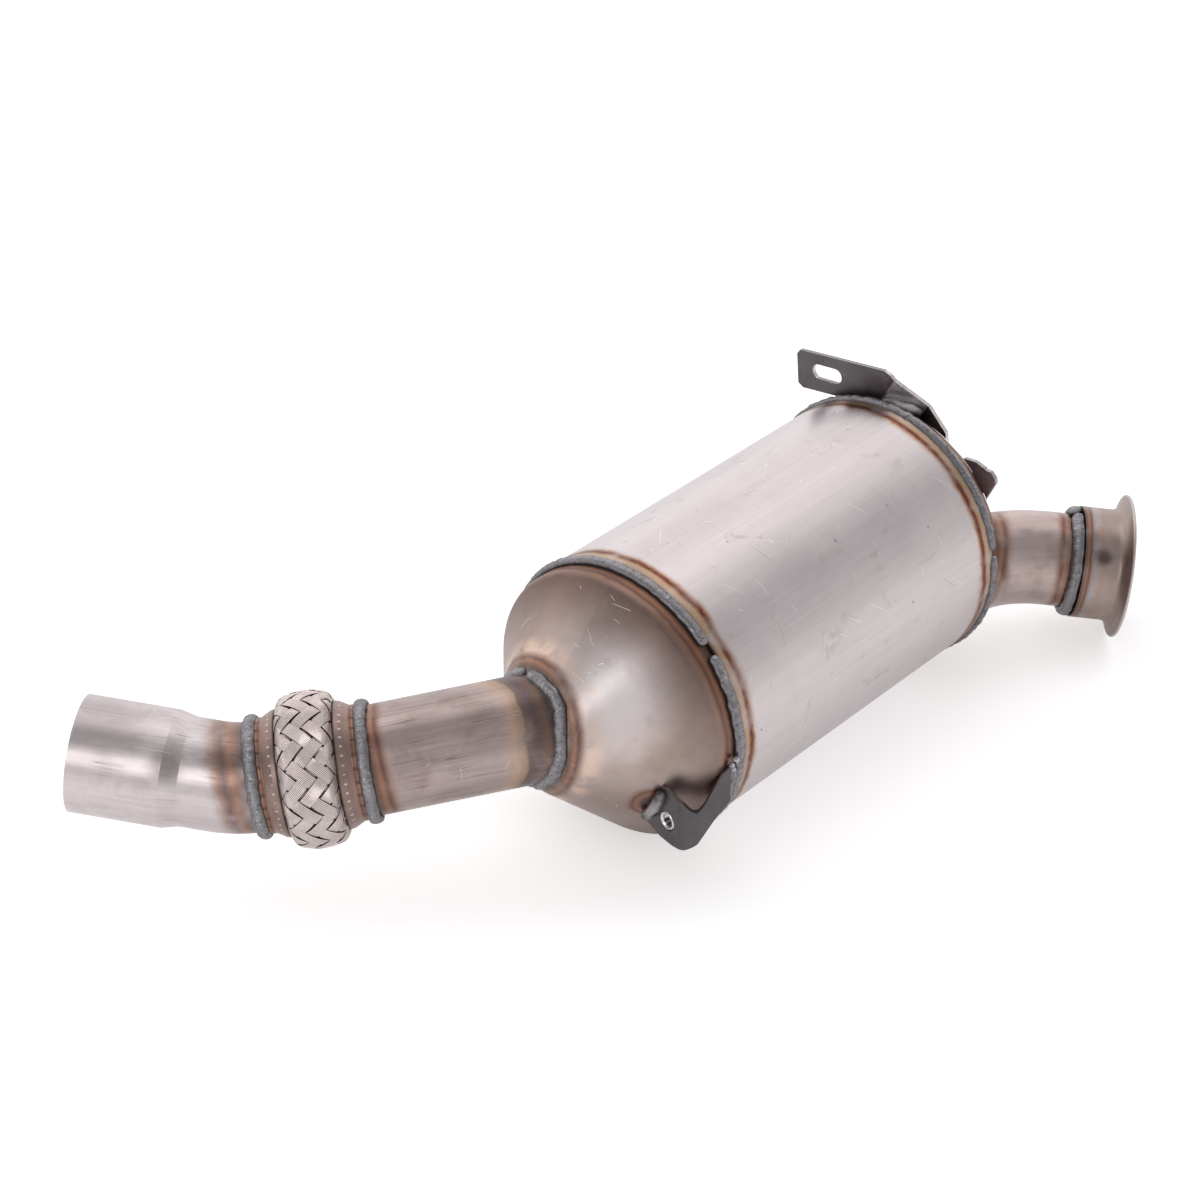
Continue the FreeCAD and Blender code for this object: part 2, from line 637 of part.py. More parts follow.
# Tail pipe: bend, straight run and expanded socket, one formed tube
tail_start = flex_centre + flex_axis * size["flex_half"]
tail_turn = (1 - size["tail_share"]) * whole_turn
side_way = unit(tail_axis - flex_axis * tail_axis.dot(flex_axis))
tail_bend_place = bend_place(tail_start, flex_axis, side_way, size["tail_bend"])
tail_arc = new_body("tail_arc", tail_bend_place)
tail_section = new_sketch(tail_arc, "XZ_Plane", "section")
for number, ring in enumerate(["pipe_radius", "pipe_radius - pipe_wall"]):
    tail_section.addGeometry(Part.Circle(V(size["tail_bend"], 0, 0), V(0, 0, 1), total(ring)), False)
    fix(tail_section, "DistanceX", number, 3, "tail_bend")
    fix(tail_section, "DistanceY", number, 3, "0")
    ring_index = tail_section.addConstraint(Sketcher.Constraint("Radius", number, total(ring)))
    tail_section.setExpression("Constraints[%d]" % ring_index, bound(ring))
tail_sweep = tail_arc.newObject("PartDesign::Revolution", "tail_sweep")
tail_sweep.Profile = tail_section
tail_sweep.ReferenceAxis = (tail_section, ["V_Axis"])
tail_sweep.Angle = math.degrees(tail_turn)
inward = side_way * size["tail_bend"]
tail_knee = tail_start + inward - inward * math.cos(tail_turn) + flex_axis * size["tail_bend"] * math.sin(tail_turn)
tail_place = aim(tail_knee, tail_axis)
tail_straight = turned("tail_straight_run", [
    ("0", "pipe_radius - pipe_wall"),
    ("0", "pipe_radius"),
    ("tail_straight", "pipe_radius"),
    ("tail_straight + socket_taper", "socket_radius"),
    ("tail_straight + socket_taper + socket_length", "socket_radius"),
    ("tail_straight + socket_taper + socket_length", "socket_radius - pipe_wall"),
    ("tail_straight + socket_taper", "socket_radius - pipe_wall"),
    ("tail_straight", "pipe_radius - pipe_wall"),
], tail_place)
tail_pipe = fused("tail_pipe", [tail_arc, tail_straight])

# Clamp flange with its neck, the elbow behind it and their weld
vband_flange = turned("vband_flange", [
    ("0", "flange_neck - pipe_wall"),
    ("0", "flange_radius - 1"),
    ("0.4*flange_rim", "flange_radius"),
    ("flange_rim", "flange_radius"),
    ("flange_rim + 0.2*flange_slope", "flange_neck + 0.52*flange_radius - 0.52*flange_neck"),
    ("flange_rim + 0.45*flange_slope", "flange_neck + 0.23*flange_radius - 0.23*flange_neck"),
    ("flange_rim + flange_slope", "flange_neck"),
    ("flange_length", "flange_neck"),
    ("flange_length", "elbow_radius + fit_gap"),
    ("flange_length - 5", "elbow_radius + fit_gap"),
    ("flange_length - 9", "flange_neck - pipe_wall"),
], flange_place)
flange_weld = turned("flange_weld", [
    ("flange_length + fit_gap", "elbow_radius + fit_gap"),
    ("flange_length + fit_gap", "flange_neck"),
    ("flange_length + 0.15*flange_bead", "flange_neck + 0.4"),
    ("flange_length + 0.45*flange_bead", "flange_neck - 1"),
    ("flange_length + 0.8*flange_bead", "elbow_radius + 2.1"),
    ("flange_length + flange_bead", "elbow_radius + fit_gap"),
], flange_place)
elbow_knee = flange_axis * -size["flange_run"]
level = unit(V(1, 0, 0) - flange_axis * flange_axis.x)
level_side = flange_axis.cross(level)
roll = math.radians(size["elbow_roll"])
toward = (level * math.cos(roll) + level_side * math.sin(roll)) * -1
elbow_place = bend_place(elbow_knee, flange_axis * -1, toward, size["elbow_bend"])
turn_angle = math.radians(size["elbow_turn"])
elbow_end = (
    elbow_knee + toward * (size["elbow_bend"] * (1 - math.cos(turn_angle)))
    - flange_axis * (size["elbow_bend"] * math.sin(turn_angle)))
elbow_lead_axis = toward * math.sin(turn_angle) - flange_axis * math.cos(turn_angle)
lead_place = aim(elbow_end, elbow_lead_axis)


def elbow_form(label, radius, bore):
    """Elbow with its straight runs at both ends, hollow or solid."""
    inner = "0" if bore is None else bore
    front = turned(label + "_front", [
        ("flange_length - 4", inner),
        ("flange_length - 4", radius),
        ("flange_run", radius),
        ("flange_run", inner),
    ], flange_place)
    middle = bent(label + "_arc", "elbow_bend", radius, bore, "elbow_turn", elbow_place)
    back = turned(label + "_lead", [
        ("0", inner),
        ("0", radius),
        ("elbow_lead", radius),
        ("elbow_lead", inner),
    ], lead_place)
    return fused(label, [front, middle, back])


elbow_tube = elbow_form("elbow_tube", "elbow_radius", "elbow_radius - pipe_wall")
elbow_rod = elbow_form("elbow_rod", "elbow_radius", None)
elbow_wide_rod = elbow_form("elbow_wide_rod", "elbow_radius + fit_gap", None)
inlet_cone = cut("inlet_cone", inlet_skin, elbow_wide_rod)
inlet_elbow = cut("inlet_elbow", elbow_tube, inlet_hollow)
inlet_bead = root_bead("inlet_root", inlet_block, elbow_rod, lead_place, 180)
inlet_bead_open = cut("inlet_bead_open", inlet_bead, inlet_seat)
inlet_pipe_weld = cut("inlet_pipe_weld", inlet_bead_open, elbow_wide_rod)


def strap(path, bends):
    """Outline of a bent sheet round its middle line, with the inner bend radius at each fold."""
    wall = size["plate"]
    ways = [unit(V(b[0] - a[0], b[1] - a[1], 0)) for a, b in zip(path, path[1:])]
    sides = []
    for side in (1, -1):
        row = []
        for number, (x, y) in enumerate(path):
            here = V(x, y, 0)
            before = ways[max(number - 1, 0)]
            after = ways[min(number, len(ways) - 1)]
            n1 = V(-before.y, before.x, 0)
            n2 = V(-after.y, after.x, 0)
            corner = here + (n1 + n2) * (side * wall / 2 / (1 + n1.dot(n2)))
            if number in (0, len(path) - 1):
                row.append((corner, corner, None, None))
                continue
            left_turn = before.cross(after).z > 0
            inside = left_turn == (side > 0)
            radius = bends[number - 1] + (0 if inside else wall)
            angle = before.getAngle(after)
            reach = radius * math.tan(angle / 2)
            inward = unit(n1 + n2) * (1 if left_turn else -1)
            middle = corner + inward * (radius / math.cos(angle / 2) - radius)
            row.append((corner - before * reach, corner + after * reach, radius, middle))
        sides.append(row)
    corners = []
    for first, last, radius, middle in sides[0]:
        if radius is None:
            corners.append(flat(first))
        else:
            corners.append(flat(first) + (number_entry(radius), (middle.x, middle.y)))
            corners.append(flat(last))
    for first, last, radius, middle in reversed(sides[1]):
        if radius is None:
            corners.append(flat(first))
        else:
            corners.append(flat(last) + (number_entry(radius), (middle.x, middle.y)))
            corners.append(flat(first))
    return corners


def number_entry(value):
    return (value, "%.6f" % value)


def flat(point):
    return (number_entry(point.x), number_entry(point.y))


# Lower bracket: a strap with one leg in front of the outlet cone and one beside it
lean = math.tan(math.radians(size["lower_turn"]))
weld_side = 46
fold_x = -size["lower_stand"] - (size["lower_side"] - weld_side) * lean
fold = V(fold_x, -size["lower_side"], 0) - origin
plate_way = heading(90 - size["lower_turn"], 0)
leg_way = heading(-size["lower_turn"], 0)
leg_end = -size["lower_side"] - (-size["lower_end"] - fold_x) * lean
lower_section = padded("lower_section", "XY_Plane", strap(
    [(-size["lower_stand"] + 26 * lean, 26 - weld_side), (fold_x, -size["lower_side"]),
     (-size["lower_end"], leg_end)],
    [size["lower_bend"]]), "2*can_radius", frame_place, reverse=True)
across = unit(leg_way - plate_way)
form_place = FreeCAD.Placement(
    fold, FreeCAD.Rotation(across, V(0, 0, 1), across.cross(V(0, 0, 1)), "XYZ"))
lower_form = padded("lower_form", "XY_Plane", [
    ("0 - 28", "0 - 33"),
    ("0 - 13.5", "0 - 12.6"),
    ("0 - 8.2", "0 - 14.9"),
    ("0 - 2.5", "0 - 16"),
    ("1.5", "0 - 20.3"),
    ("4.6", "0 - 21.9"),
    ("7.6", "0 - 19.6"),
    ("15.6", "0 - 5.8"),
    ("22", "0 - 1"),
    ("22", "0 - 23"),
    ("14.5", "0 - 29.7"),
    ("5.2", "0 - 41.8"),
    ("0 - 2", "0 - 45.2"),
    ("0 - 8.4", "0 - 46.3"),
    ("0 - 14.8", "0 - 45.8"),
    ("0 - 24.8", "0 - 41"),
], "can_radius", form_place, symmetric=True)
lower_front_part = common("lower_front_part", [lower_section, lower_form])
front_normal = heading(size["lower_turn"], 0, back=-1.0)
hole_x = -size["lower_stand"] - (size["hole_side"] - weld_side) * lean
hole_place = aim(V(hole_x, -size["hole_side"], -size["hole_drop"]) - origin, front_normal * -1)
lower_hole_tool = rod("lower_hole_tool", "lower_hole", "0 - 2*plate", "2*plate", hole_place)
lower_open = cut("lower_open", lower_front_part, lower_hole_tool)
lower_bracket = cut("lower_bracket", lower_open, outlet_seat)
lower_bracket_nut = turned("lower_bracket_nut", [
    ("0 - 0.5*plate", "nut_thread + 0.8"),
    ("0 - 0.5*plate", "lower_hole - fit_gap - 0.6"),
    ("0 - 0.5*plate + 0.6", "lower_hole - fit_gap"),
    ("0.5*plate + nut_back", "lower_hole - fit_gap"),
    ("0.5*plate + nut_back", "nut_thread"),
    ("0 - 0.5*plate + 0.8", "nut_thread"),
], hole_place)


def ring_bead(label, x, ring, start, sweep, bead="bracket_bead"):
    """Weld that runs round the can's axis, with round ends. Angles are measured from +Y over +Z."""
    middle = total(x)
    radius = total(ring)
    torus = doc.addObject("Part::Torus", label + "_run")
    torus.Radius1 = radius
    torus.setExpression("Radius1", bound(ring))
    torus.Radius2 = total(bead)
    torus.setExpression("Radius2", bound(bead))
    torus.Angle3 = sweep
    base = FreeCAD.Placement(V(middle, 0, 0) - origin, FreeCAD.Rotation(V(1, 0, 0), start))
    axes = FreeCAD.Rotation(V(0, 1, 0), V(0, 0, 1), V(1, 0, 0), "XYZ")
    torus.Placement = base * FreeCAD.Placement(V(0, 0, 0), axes)
    shapes = [torus]
    for number, angle in enumerate([start, start + sweep]):
        end = doc.addObject("Part::Sphere", "%s_end_%d" % (label, number))
        end.Radius = total(bead)
        end.setExpression("Radius", bound(bead))
        way = V(0, math.cos(math.radians(angle)), math.sin(math.radians(angle)))
        end.Placement = FreeCAD.Placement(V(middle, 0, 0) - origin + way * radius, FreeCAD.Rotation())
        shapes.append(end)
    return fused(label, shapes)


def straight_bead(label, first, last, bead="bracket_bead"):
    """Straight weld with round ends."""
    way = last - first
    run = doc.addObject("Part::Cylinder", label + "_run")
    run.Radius = total(bead)
    run.setExpression("Radius", bound(bead))
    run.Height = way.Length
    run.Placement = FreeCAD.Placement(first - origin, FreeCAD.Rotation(V(0, 0, 1), way))
    shapes = [run]
    for number, point in enumerate([first, last]):
        end = doc.addObject("Part::Sphere", "%s_end_%d" % (label, number))
        end.Radius = total(bead)
        end.setExpression("Radius", bound(bead))
        end.Placement = FreeCAD.Placement(point - origin, FreeCAD.Rotation(V(0, 0, 1), way))
        shapes.append(end)
    return fused(label, shapes)


lower_left_bead = ring_bead("lower_left_bead", "0 - lower_stand - plate", "56.4", 196, 25)
lower_left_open = cut("lower_left_open", lower_left_bead, outlet_seat)
behind = (size["plate"] / 2 + size["fit_gap"]) / math.cos(math.radians(size["lower_turn"]))
lower_plate_tool = padded("lower_plate_tool", "XY_Plane", [
    (number_entry(-size["lower_stand"] - behind + (weld_side + 10) * lean), "10"),
    (number_entry(-size["lower_stand"] - behind - (100 - weld_side) * lean), "0 - 100"),
    ("can_radius", "0 - 100"),
    ("can_radius", "10"),
], "2*can_radius", frame_place, symmetric=True)
lower_bracket_left_weld = cut("lower_bracket_left_weld", lower_left_open, lower_plate_tool)
seam_tool = turned("outlet_seam_tool", [
    ("0 - seam_lap - fit_gap", "0"),
    ("0 - seam_lap - fit_gap", "can_radius + seam_height + fit_gap"),
    ("seam_width + fit_gap", "can_radius + seam_height + fit_gap"),
    ("seam_width + fit_gap", "0"),
], outlet_seam)
lower_right_bead = ring_bead(
    "lower_right_bead", "seam_shift - seam_width - side_bead - fit_gap", "can_radius - 0.4",
    183.5, 21, bead="side_bead")
lower_right_open = cut("lower_right_open", lower_right_bead, outlet_seat)
lower_bracket_right_weld = cut("lower_bracket_right_weld", lower_right_open, seam_tool)

# Upper bracket: a tab with a slot, folded twice and seated on the inlet cone
ridge = V(inlet_end + size["upper_stand"], 6.1, 84.1) - origin
ridge_place = FreeCAD.Placement(ridge, FreeCAD.Rotation(V(1, 0, 0), size["fold_tilt"]))
half_plate = size["plate"] / 2
upper_section = padded("upper_section", "XY_Plane", strap(
    [(half_plate, 72), (half_plate, 0), (half_plate + 8, -22.8), (half_plate + 3.5, -46)],
    [2.5, 2.5]), "100", ridge_place, symmetric=True)
upper_face = padded("upper_face", "YZ_Plane", [
    ("64.4", "62.8"),
    ("68", "64.8"),
    ("69.7", "83"),
    ("67.8", "85.8"),
    ("9", "94"),
    ("5", "92.8"),
    ("1.6", "90"),
    ("0 - 17", "77.6"),
    ("0 - 31.5", "68"),
    ("0 - 34", "58"),
    ("20", "58"),
    ("31.8", "67.4"),
], "40", inlet_seam)
slot_place = FreeCAD.Placement(
    V(inlet_end, size["slot_side"], size["slot_rise"]) - origin,
    FreeCAD.Rotation(V(1, 0, 0), -size["slot_tilt"]))
slot_end = total("0.5*slot_length - slot_half_width")
slot_tool = new_body("slot_tool", slot_place)
slot_sketch = new_sketch(slot_tool, "YZ_Plane", "outline")
slot_width = size["slot_half_width"]
slot_sketch.addGeometry(Part.LineSegment(V(-slot_end, slot_width, 0), V(slot_end, slot_width, 0)), False)
slot_sketch.addGeometry(Part.LineSegment(V(-slot_end, -slot_width, 0), V(slot_end, -slot_width, 0)), False)
slot_sketch.addGeometry(
    Part.Arc(V(-slot_end, slot_width, 0), V(-slot_end - slot_width, 0, 0), V(-slot_end, -slot_width, 0)), False)
slot_sketch.addGeometry(
    Part.Arc(V(slot_end, -slot_width, 0), V(slot_end + slot_width, 0, 0), V(slot_end, slot_width, 0)), False)
for one, one_end, other, other_end in ((0, 1, 2, 1), (1, 1, 2, 2), (1, 2, 3, 1), (0, 2, 3, 2)):
    slot_sketch.addConstraint(Sketcher.Constraint("Tangent", one, one_end, other, other_end))
slot_sketch.addConstraint(Sketcher.Constraint("Horizontal", 0))
slot_sketch.addConstraint(Sketcher.Constraint("PointOnObject", 2, 3, -1))
slot_sketch.addConstraint(Sketcher.Constraint("Symmetric", 2, 3, 3, 3, -2))
slot_radius = slot_sketch.addConstraint(Sketcher.Constraint("Radius", 2, slot_width))
slot_sketch.setExpression("Constraints[%d]" % slot_radius, "Sheet.slot_half_width")
fix(slot_sketch, "DistanceX", 3, 3, "0.5*slot_length - slot_half_width")
slot_pad = slot_tool.newObject("PartDesign::Pad", "slot_tool_pad")
slot_pad.Profile = slot_sketch
slot_pad.Length = 40
upper_blank = common("upper_blank", [upper_section, upper_face])
upper_slotted = cut("upper_slotted", upper_blank, slot_tool)
upper_bracket = cut("upper_bracket", upper_slotted, inlet_seat)
upper_bead = straight_bead(
    "upper_bead", V(inlet_end + size["upper_stand"] - 1.6, 7.5, 76.6),
    V(inlet_end + size["upper_stand"] + 4.5, -15, 74.2))
upper_bead_open = cut("upper_bead_open", upper_bead, inlet_seat)
upper_wide = padded("upper_wide", "XY_Plane", [
    ("0 - fit_gap", "0.4"),
    (number_entry(8 - 0.9), "0 - 22.8"),
    (number_entry(8 - 0.9), "0 - 60"),
    ("80", "0 - 60"),
    ("80", "72"),
    ("0 - fit_gap", "72"),
], "100", ridge_place, symmetric=True)
inlet_seam_tool = turned("inlet_seam_tool", [
    ("0 - seam_lap - fit_gap", "0"),
    ("0 - seam_lap - fit_gap", "can_radius + seam_height + fit_gap"),
    ("seam_width + fit_gap", "can_radius + seam_height + fit_gap"),
    ("seam_width + fit_gap", "0"),
], inlet_seam)
upper_bead_free = cut("upper_bead_free", upper_bead_open, inlet_seam_tool)
upper_bracket_weld = cut("upper_bracket_weld", upper_bead_free, upper_wide)

# Rear ear with its weld
ear_place = aim(V(inlet_end + size["ear_stand"], 0, 0) - origin, V(1, 0, 0))
ear_blank = padded("ear_blank", "YZ_Plane", [
    ("0 - 36", "42"),
    ("0 - 42", "54.6"),
    ("0 - 50", "55.2"),
    ("0 - 55.6", "53.6"),
    ("0 - 56.4", "52.8"),
    ("0 - 60", "52.8"),
    ("0 - 63.2", "49.8"),
    ("0 - 63.8", "47"),
    ("0 - 56", "30"),
], "plate", ear_place)
rear_ear_bracket = cut("rear_ear_bracket", ear_blank, inlet_seat)
ear_bead = ring_bead(
    "ear_bead", "can_length + seam_shift + ear_stand + plate + fit_gap + 1.2", "64.5", 135, 12)
ear_bead_open = cut("ear_bead_open", ear_bead, inlet_seat)
ear_half = padded("ear_half", "YZ_Plane", [
    ("0 - 90", "0"),
    ("0", "0"),
    ("0", "90"),
    ("0 - 90", "90"),
], "plate + fit_gap", ear_place)
rear_ear_weld = cut("rear_ear_weld", ear_bead_open, ear_half)

doc.recompute()

PIECES = [
    can_shell, filter_monolith, support_mat, outlet_cone, inlet_cone, outlet_seam_weld,
    inlet_seam_weld, outlet_pipe, outlet_pipe_weld, flex_rear_collar, flex_front_collar,
    flex_braid, flex_bellows, flex_liner, flex_rear_weld, flex_front_weld, tail_pipe,
    inlet_elbow, inlet_pipe_weld, flange_weld, vband_flange, upper_bracket,
    upper_bracket_weld, lower_bracket, lower_bracket_nut, lower_bracket_left_weld,
    lower_bracket_right_weld, rear_ear_bracket, rear_ear_weld,
]

for item in doc.Objects:
    if "Invalid" in item.State or "Error" in item.State:
        raise RuntimeError("not built: " + item.Name)
for piece in PIECES:
    if piece.Shape.isNull() or not piece.Shape.isValid():
        raise RuntimeError("no sound shape: " + piece.Label)
    if len(piece.Shape.Solids) != 1:
        raise RuntimeError("%s has %d solids" % (piece.Label, len(piece.Shape.Solids)))

for piece in PIECES:
    piece.Shape.exportStep("parts/" + piece.Label + ".step")
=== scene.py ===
import math

import bpy
import numpy as np
from bpy.props import FloatProperty, FloatVectorProperty, IntProperty, PointerProperty
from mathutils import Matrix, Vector, noise


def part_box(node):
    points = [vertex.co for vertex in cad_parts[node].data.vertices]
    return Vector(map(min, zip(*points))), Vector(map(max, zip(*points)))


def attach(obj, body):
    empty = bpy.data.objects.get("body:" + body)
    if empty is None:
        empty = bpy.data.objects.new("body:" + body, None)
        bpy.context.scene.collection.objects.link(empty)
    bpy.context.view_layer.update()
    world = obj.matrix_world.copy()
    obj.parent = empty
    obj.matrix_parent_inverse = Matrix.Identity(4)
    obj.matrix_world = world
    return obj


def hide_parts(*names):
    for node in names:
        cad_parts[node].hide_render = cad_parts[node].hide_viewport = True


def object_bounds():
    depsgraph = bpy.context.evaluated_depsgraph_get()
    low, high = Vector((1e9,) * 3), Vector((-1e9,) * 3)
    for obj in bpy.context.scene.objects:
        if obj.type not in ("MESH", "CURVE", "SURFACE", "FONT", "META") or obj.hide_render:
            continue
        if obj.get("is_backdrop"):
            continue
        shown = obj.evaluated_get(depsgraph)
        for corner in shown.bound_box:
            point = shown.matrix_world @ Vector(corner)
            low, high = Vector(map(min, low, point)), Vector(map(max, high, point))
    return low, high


bl_info = {
    "name": "Particulate filter finish",
    "version": (1, 0, 0),
    "blender": (4, 5, 0),
    "location": "View3D > Sidebar > Filter",
    "description": "Tinted steel, weld beads and wire braid of an exhaust particulate filter",
    "category": "Object",
}

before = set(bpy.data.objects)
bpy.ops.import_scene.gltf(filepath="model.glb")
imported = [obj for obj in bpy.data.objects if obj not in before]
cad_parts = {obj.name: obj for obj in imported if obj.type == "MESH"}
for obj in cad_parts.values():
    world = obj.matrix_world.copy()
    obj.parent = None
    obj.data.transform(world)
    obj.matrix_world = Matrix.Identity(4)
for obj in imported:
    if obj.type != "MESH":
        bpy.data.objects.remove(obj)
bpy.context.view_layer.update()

MM = 0.001


def heading(yaw, rise, back=1.0):
    """Direction from its turn about the vertical and its rise, in degrees."""
    a = math.radians(yaw)
    b = math.radians(rise)
    return Vector((back * math.cos(b) * math.cos(a), math.cos(b) * math.sin(a), math.sin(b)))


def side_axes(along):
    """Two directions across a pipe: level towards its left, and up."""
    up = Vector((0, 0, 1))
    up = (up - along * along.dot(up)).normalized()
    return up.cross(along).normalized(), up


# Places of the can, the pipes and the flex, in metres
can_low, can_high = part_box("can_shell")
CAN_CENTRE = (can_low + can_high) / 2
CAN_RADIUS = (can_high.z - can_low.z) / 2
CAN_AXIS = Vector((1, 0, 0))
OUTLET_SEAM = can_low.x
INLET_SEAM = can_high.x
PIPE_RADIUS = 28.5 * MM
FLEX_HALF = 28 * MM
FLANGE_AXIS = heading(-50.4, -6.1)
FLANGE_CENTRE = Vector((0, 0, 0))
ELBOW_RADIUS = 27 * MM
OUTLET_AXIS = heading(42, -9.5, back=-1.0)
TAIL_AXIS = heading(56.2, 6.15, back=-1.0)
OUTLET_START = Vector((OUTLET_SEAM - 44.9 * MM, CAN_CENTRE.y, CAN_CENTRE.z + 7.2 * MM))
TAIL_SHARE = 0.165
TURN = math.acos(OUTLET_AXIS.dot(TAIL_AXIS))
FLEX_AXIS = (
    OUTLET_AXIS * math.sin((1 - TAIL_SHARE) * TURN) + TAIL_AXIS * math.sin(TAIL_SHARE * TURN)
).normalized()
OUTLET_LENGTH = 104.8 * MM
FLEX_START = OUTLET_START + OUTLET_AXIS * OUTLET_LENGTH
FLEX_CENTRE = FLEX_START + FLEX_AXIS * FLEX_HALF
TAIL_START = FLEX_CENTRE + FLEX_AXIS * FLEX_HALF
TAIL_WAY = (TAIL_AXIS - FLEX_AXIS * TAIL_AXIS.dot(FLEX_AXIS)).normalized()
TAIL_TURN = (1 - TAIL_SHARE) * TURN
TAIL_BEND = 76 * MM
TAIL_KNEE = (
    TAIL_START + TAIL_WAY * (TAIL_BEND * (1 - math.cos(TAIL_TURN)))
    + FLEX_AXIS * (TAIL_BEND * math.sin(TAIL_TURN)))
ELBOW_BEND = 70 * MM
ELBOW_TURN = math.radians(42.7)
ELBOW_KNEE = FLANGE_AXIS * (-42 * MM)
ELBOW_LEVEL = (Vector((1, 0, 0)) - FLANGE_AXIS * FLANGE_AXIS.x).normalized()
ELBOW_ROLL = math.radians(-8.6)
ELBOW_WAY = (
    ELBOW_LEVEL * math.cos(ELBOW_ROLL) + FLANGE_AXIS.cross(ELBOW_LEVEL) * math.sin(ELBOW_ROLL)) * -1
ELBOW_END = (
    ELBOW_KNEE + ELBOW_WAY * (ELBOW_BEND * (1 - math.cos(ELBOW_TURN)))
    - FLANGE_AXIS * (ELBOW_BEND * math.sin(ELBOW_TURN)))
LEAD_AXIS = (ELBOW_WAY * math.sin(ELBOW_TURN) - FLANGE_AXIS * math.cos(ELBOW_TURN)).normalized()

OUTLET_CONE = OUTLET_SEAM - 1.5 * MM
INLET_CONE = INLET_SEAM - 4 * MM

# Braid's outer face, in millimetres: half of its crown, its top radius and its fall over that half
SLEEVE_CROWN = 8.0
SLEEVE_TOP = 40.6
SLEEVE_FALL = 1.1

# Spots of heat, splash and scorch, of painted highlight on the outlet cone and the lower left bead, and of
# painted shade on the tail
LOWER_LEFT_SPOT = Vector((-359 * MM, 46 * MM, 12 * MM))
LOWER_RIGHT_SPOT = Vector((-332 * MM, 18 * MM, 22 * MM))
SPLASH = Vector((-332.2 * MM, 16.4 * MM, 36.0 * MM))
HIGHLIGHT_SPOT = Vector((-370.5, 66.5, 75.5)) * MM
FLANGE_SCORCH = Vector((-29.0, -6.0, 22.5)) * MM
TAIL_SHADE_SPOT = Vector((-530.4, 222.3, 43.7)) * MM
TAIL_RIM_SHADE = Vector((-538.4, 260.6, 57.4)) * MM
UPPER_SPLASH = Vector((-99 * MM, 88 * MM, 116 * MM))

# First angle and sweep, in degrees, of each run of the weld round the outlet pipe's root
OUTLET_RUNS = ((344.0, 168.0), (156.5, 9.0), (172.0, 106.0), (284.0, 53.0))

# Camera, direction of the bright wall, and lamps with their place, target, size and power
EYE = Vector((-1.2844024, -0.7386375, 0.9480285))
EYE_AZIMUTH = -48.39
EYE_RISE = 33.81
WHITE_WALL = (0.58, 0.79, 0.2)
LAMPS = (
    ("lamp_top", Vector((0.3, 0.9, 2.3)), Vector((-0.2, 0.1, 0.04)), (2.6, 1.6), 4.5),
    ("lamp_left", Vector((-1.0, 0.06, 0.36)), Vector((-0.53, 0.25, 0.04)), (0.36, 0.30), 0.55),
)


def on_axis(x):
    """Point on the can's axis."""
    return Vector((x, CAN_CENTRE.y, CAN_CENTRE.z))


# Settings in the sidebar
class FilterSettings(bpy.types.PropertyGroup):
    bead_pitch: FloatProperty(
        name="Ripple pitch", description="Distance between two ripples of a weld bead",
        default=1.45 * MM, unit="LENGTH")
    bead_ripple: FloatProperty(
        name="Ripple height", description="Height of the ripples of a weld bead",
        default=0.26 * MM, unit="LENGTH")
    seam_width: FloatProperty(
        name="Seam width", description="Width of the beads round the can", default=6.2 * MM, unit="LENGTH")
    seam_height: FloatProperty(
        name="Seam height", description="Height of the beads round the can", default=1.5 * MM, unit="LENGTH")
    ribbon_count: IntProperty(
        name="Ribbons", description="Ribbons of the braid that run each way", default=24, min=8)
    ribbon_wires: IntProperty(
        name="Wires", description="Wires side by side in one ribbon", default=8, min=2)
    ribbon_width: FloatProperty(
        name="Ribbon width", description="Width of one ribbon of the braid", default=6.35 * MM, unit="LENGTH")
    steel: FloatVectorProperty(
        name="Steel", description="Colour of the bare sheet", subtype="COLOR", default=(0.76, 0.70, 0.71))
    cone_steel: FloatVectorProperty(
        name="Cone steel", description="Colour of the pressed end cones", subtype="COLOR",
        default=(0.42, 0.33, 0.30))
    scale_steel: FloatVectorProperty(
        name="Hot rolled steel", description="Colour of the brackets", subtype="COLOR",
        default=(0.135, 0.124, 0.132))
    weld: FloatVectorProperty(
        name="Weld metal", description="Colour of the weld beads", subtype="COLOR",
        default=(0.285, 0.275, 0.292))
    floor: FloatVectorProperty(
        name="Floor", description="Colour of the floor", subtype="COLOR", default=(0.95, 0.95, 0.95))


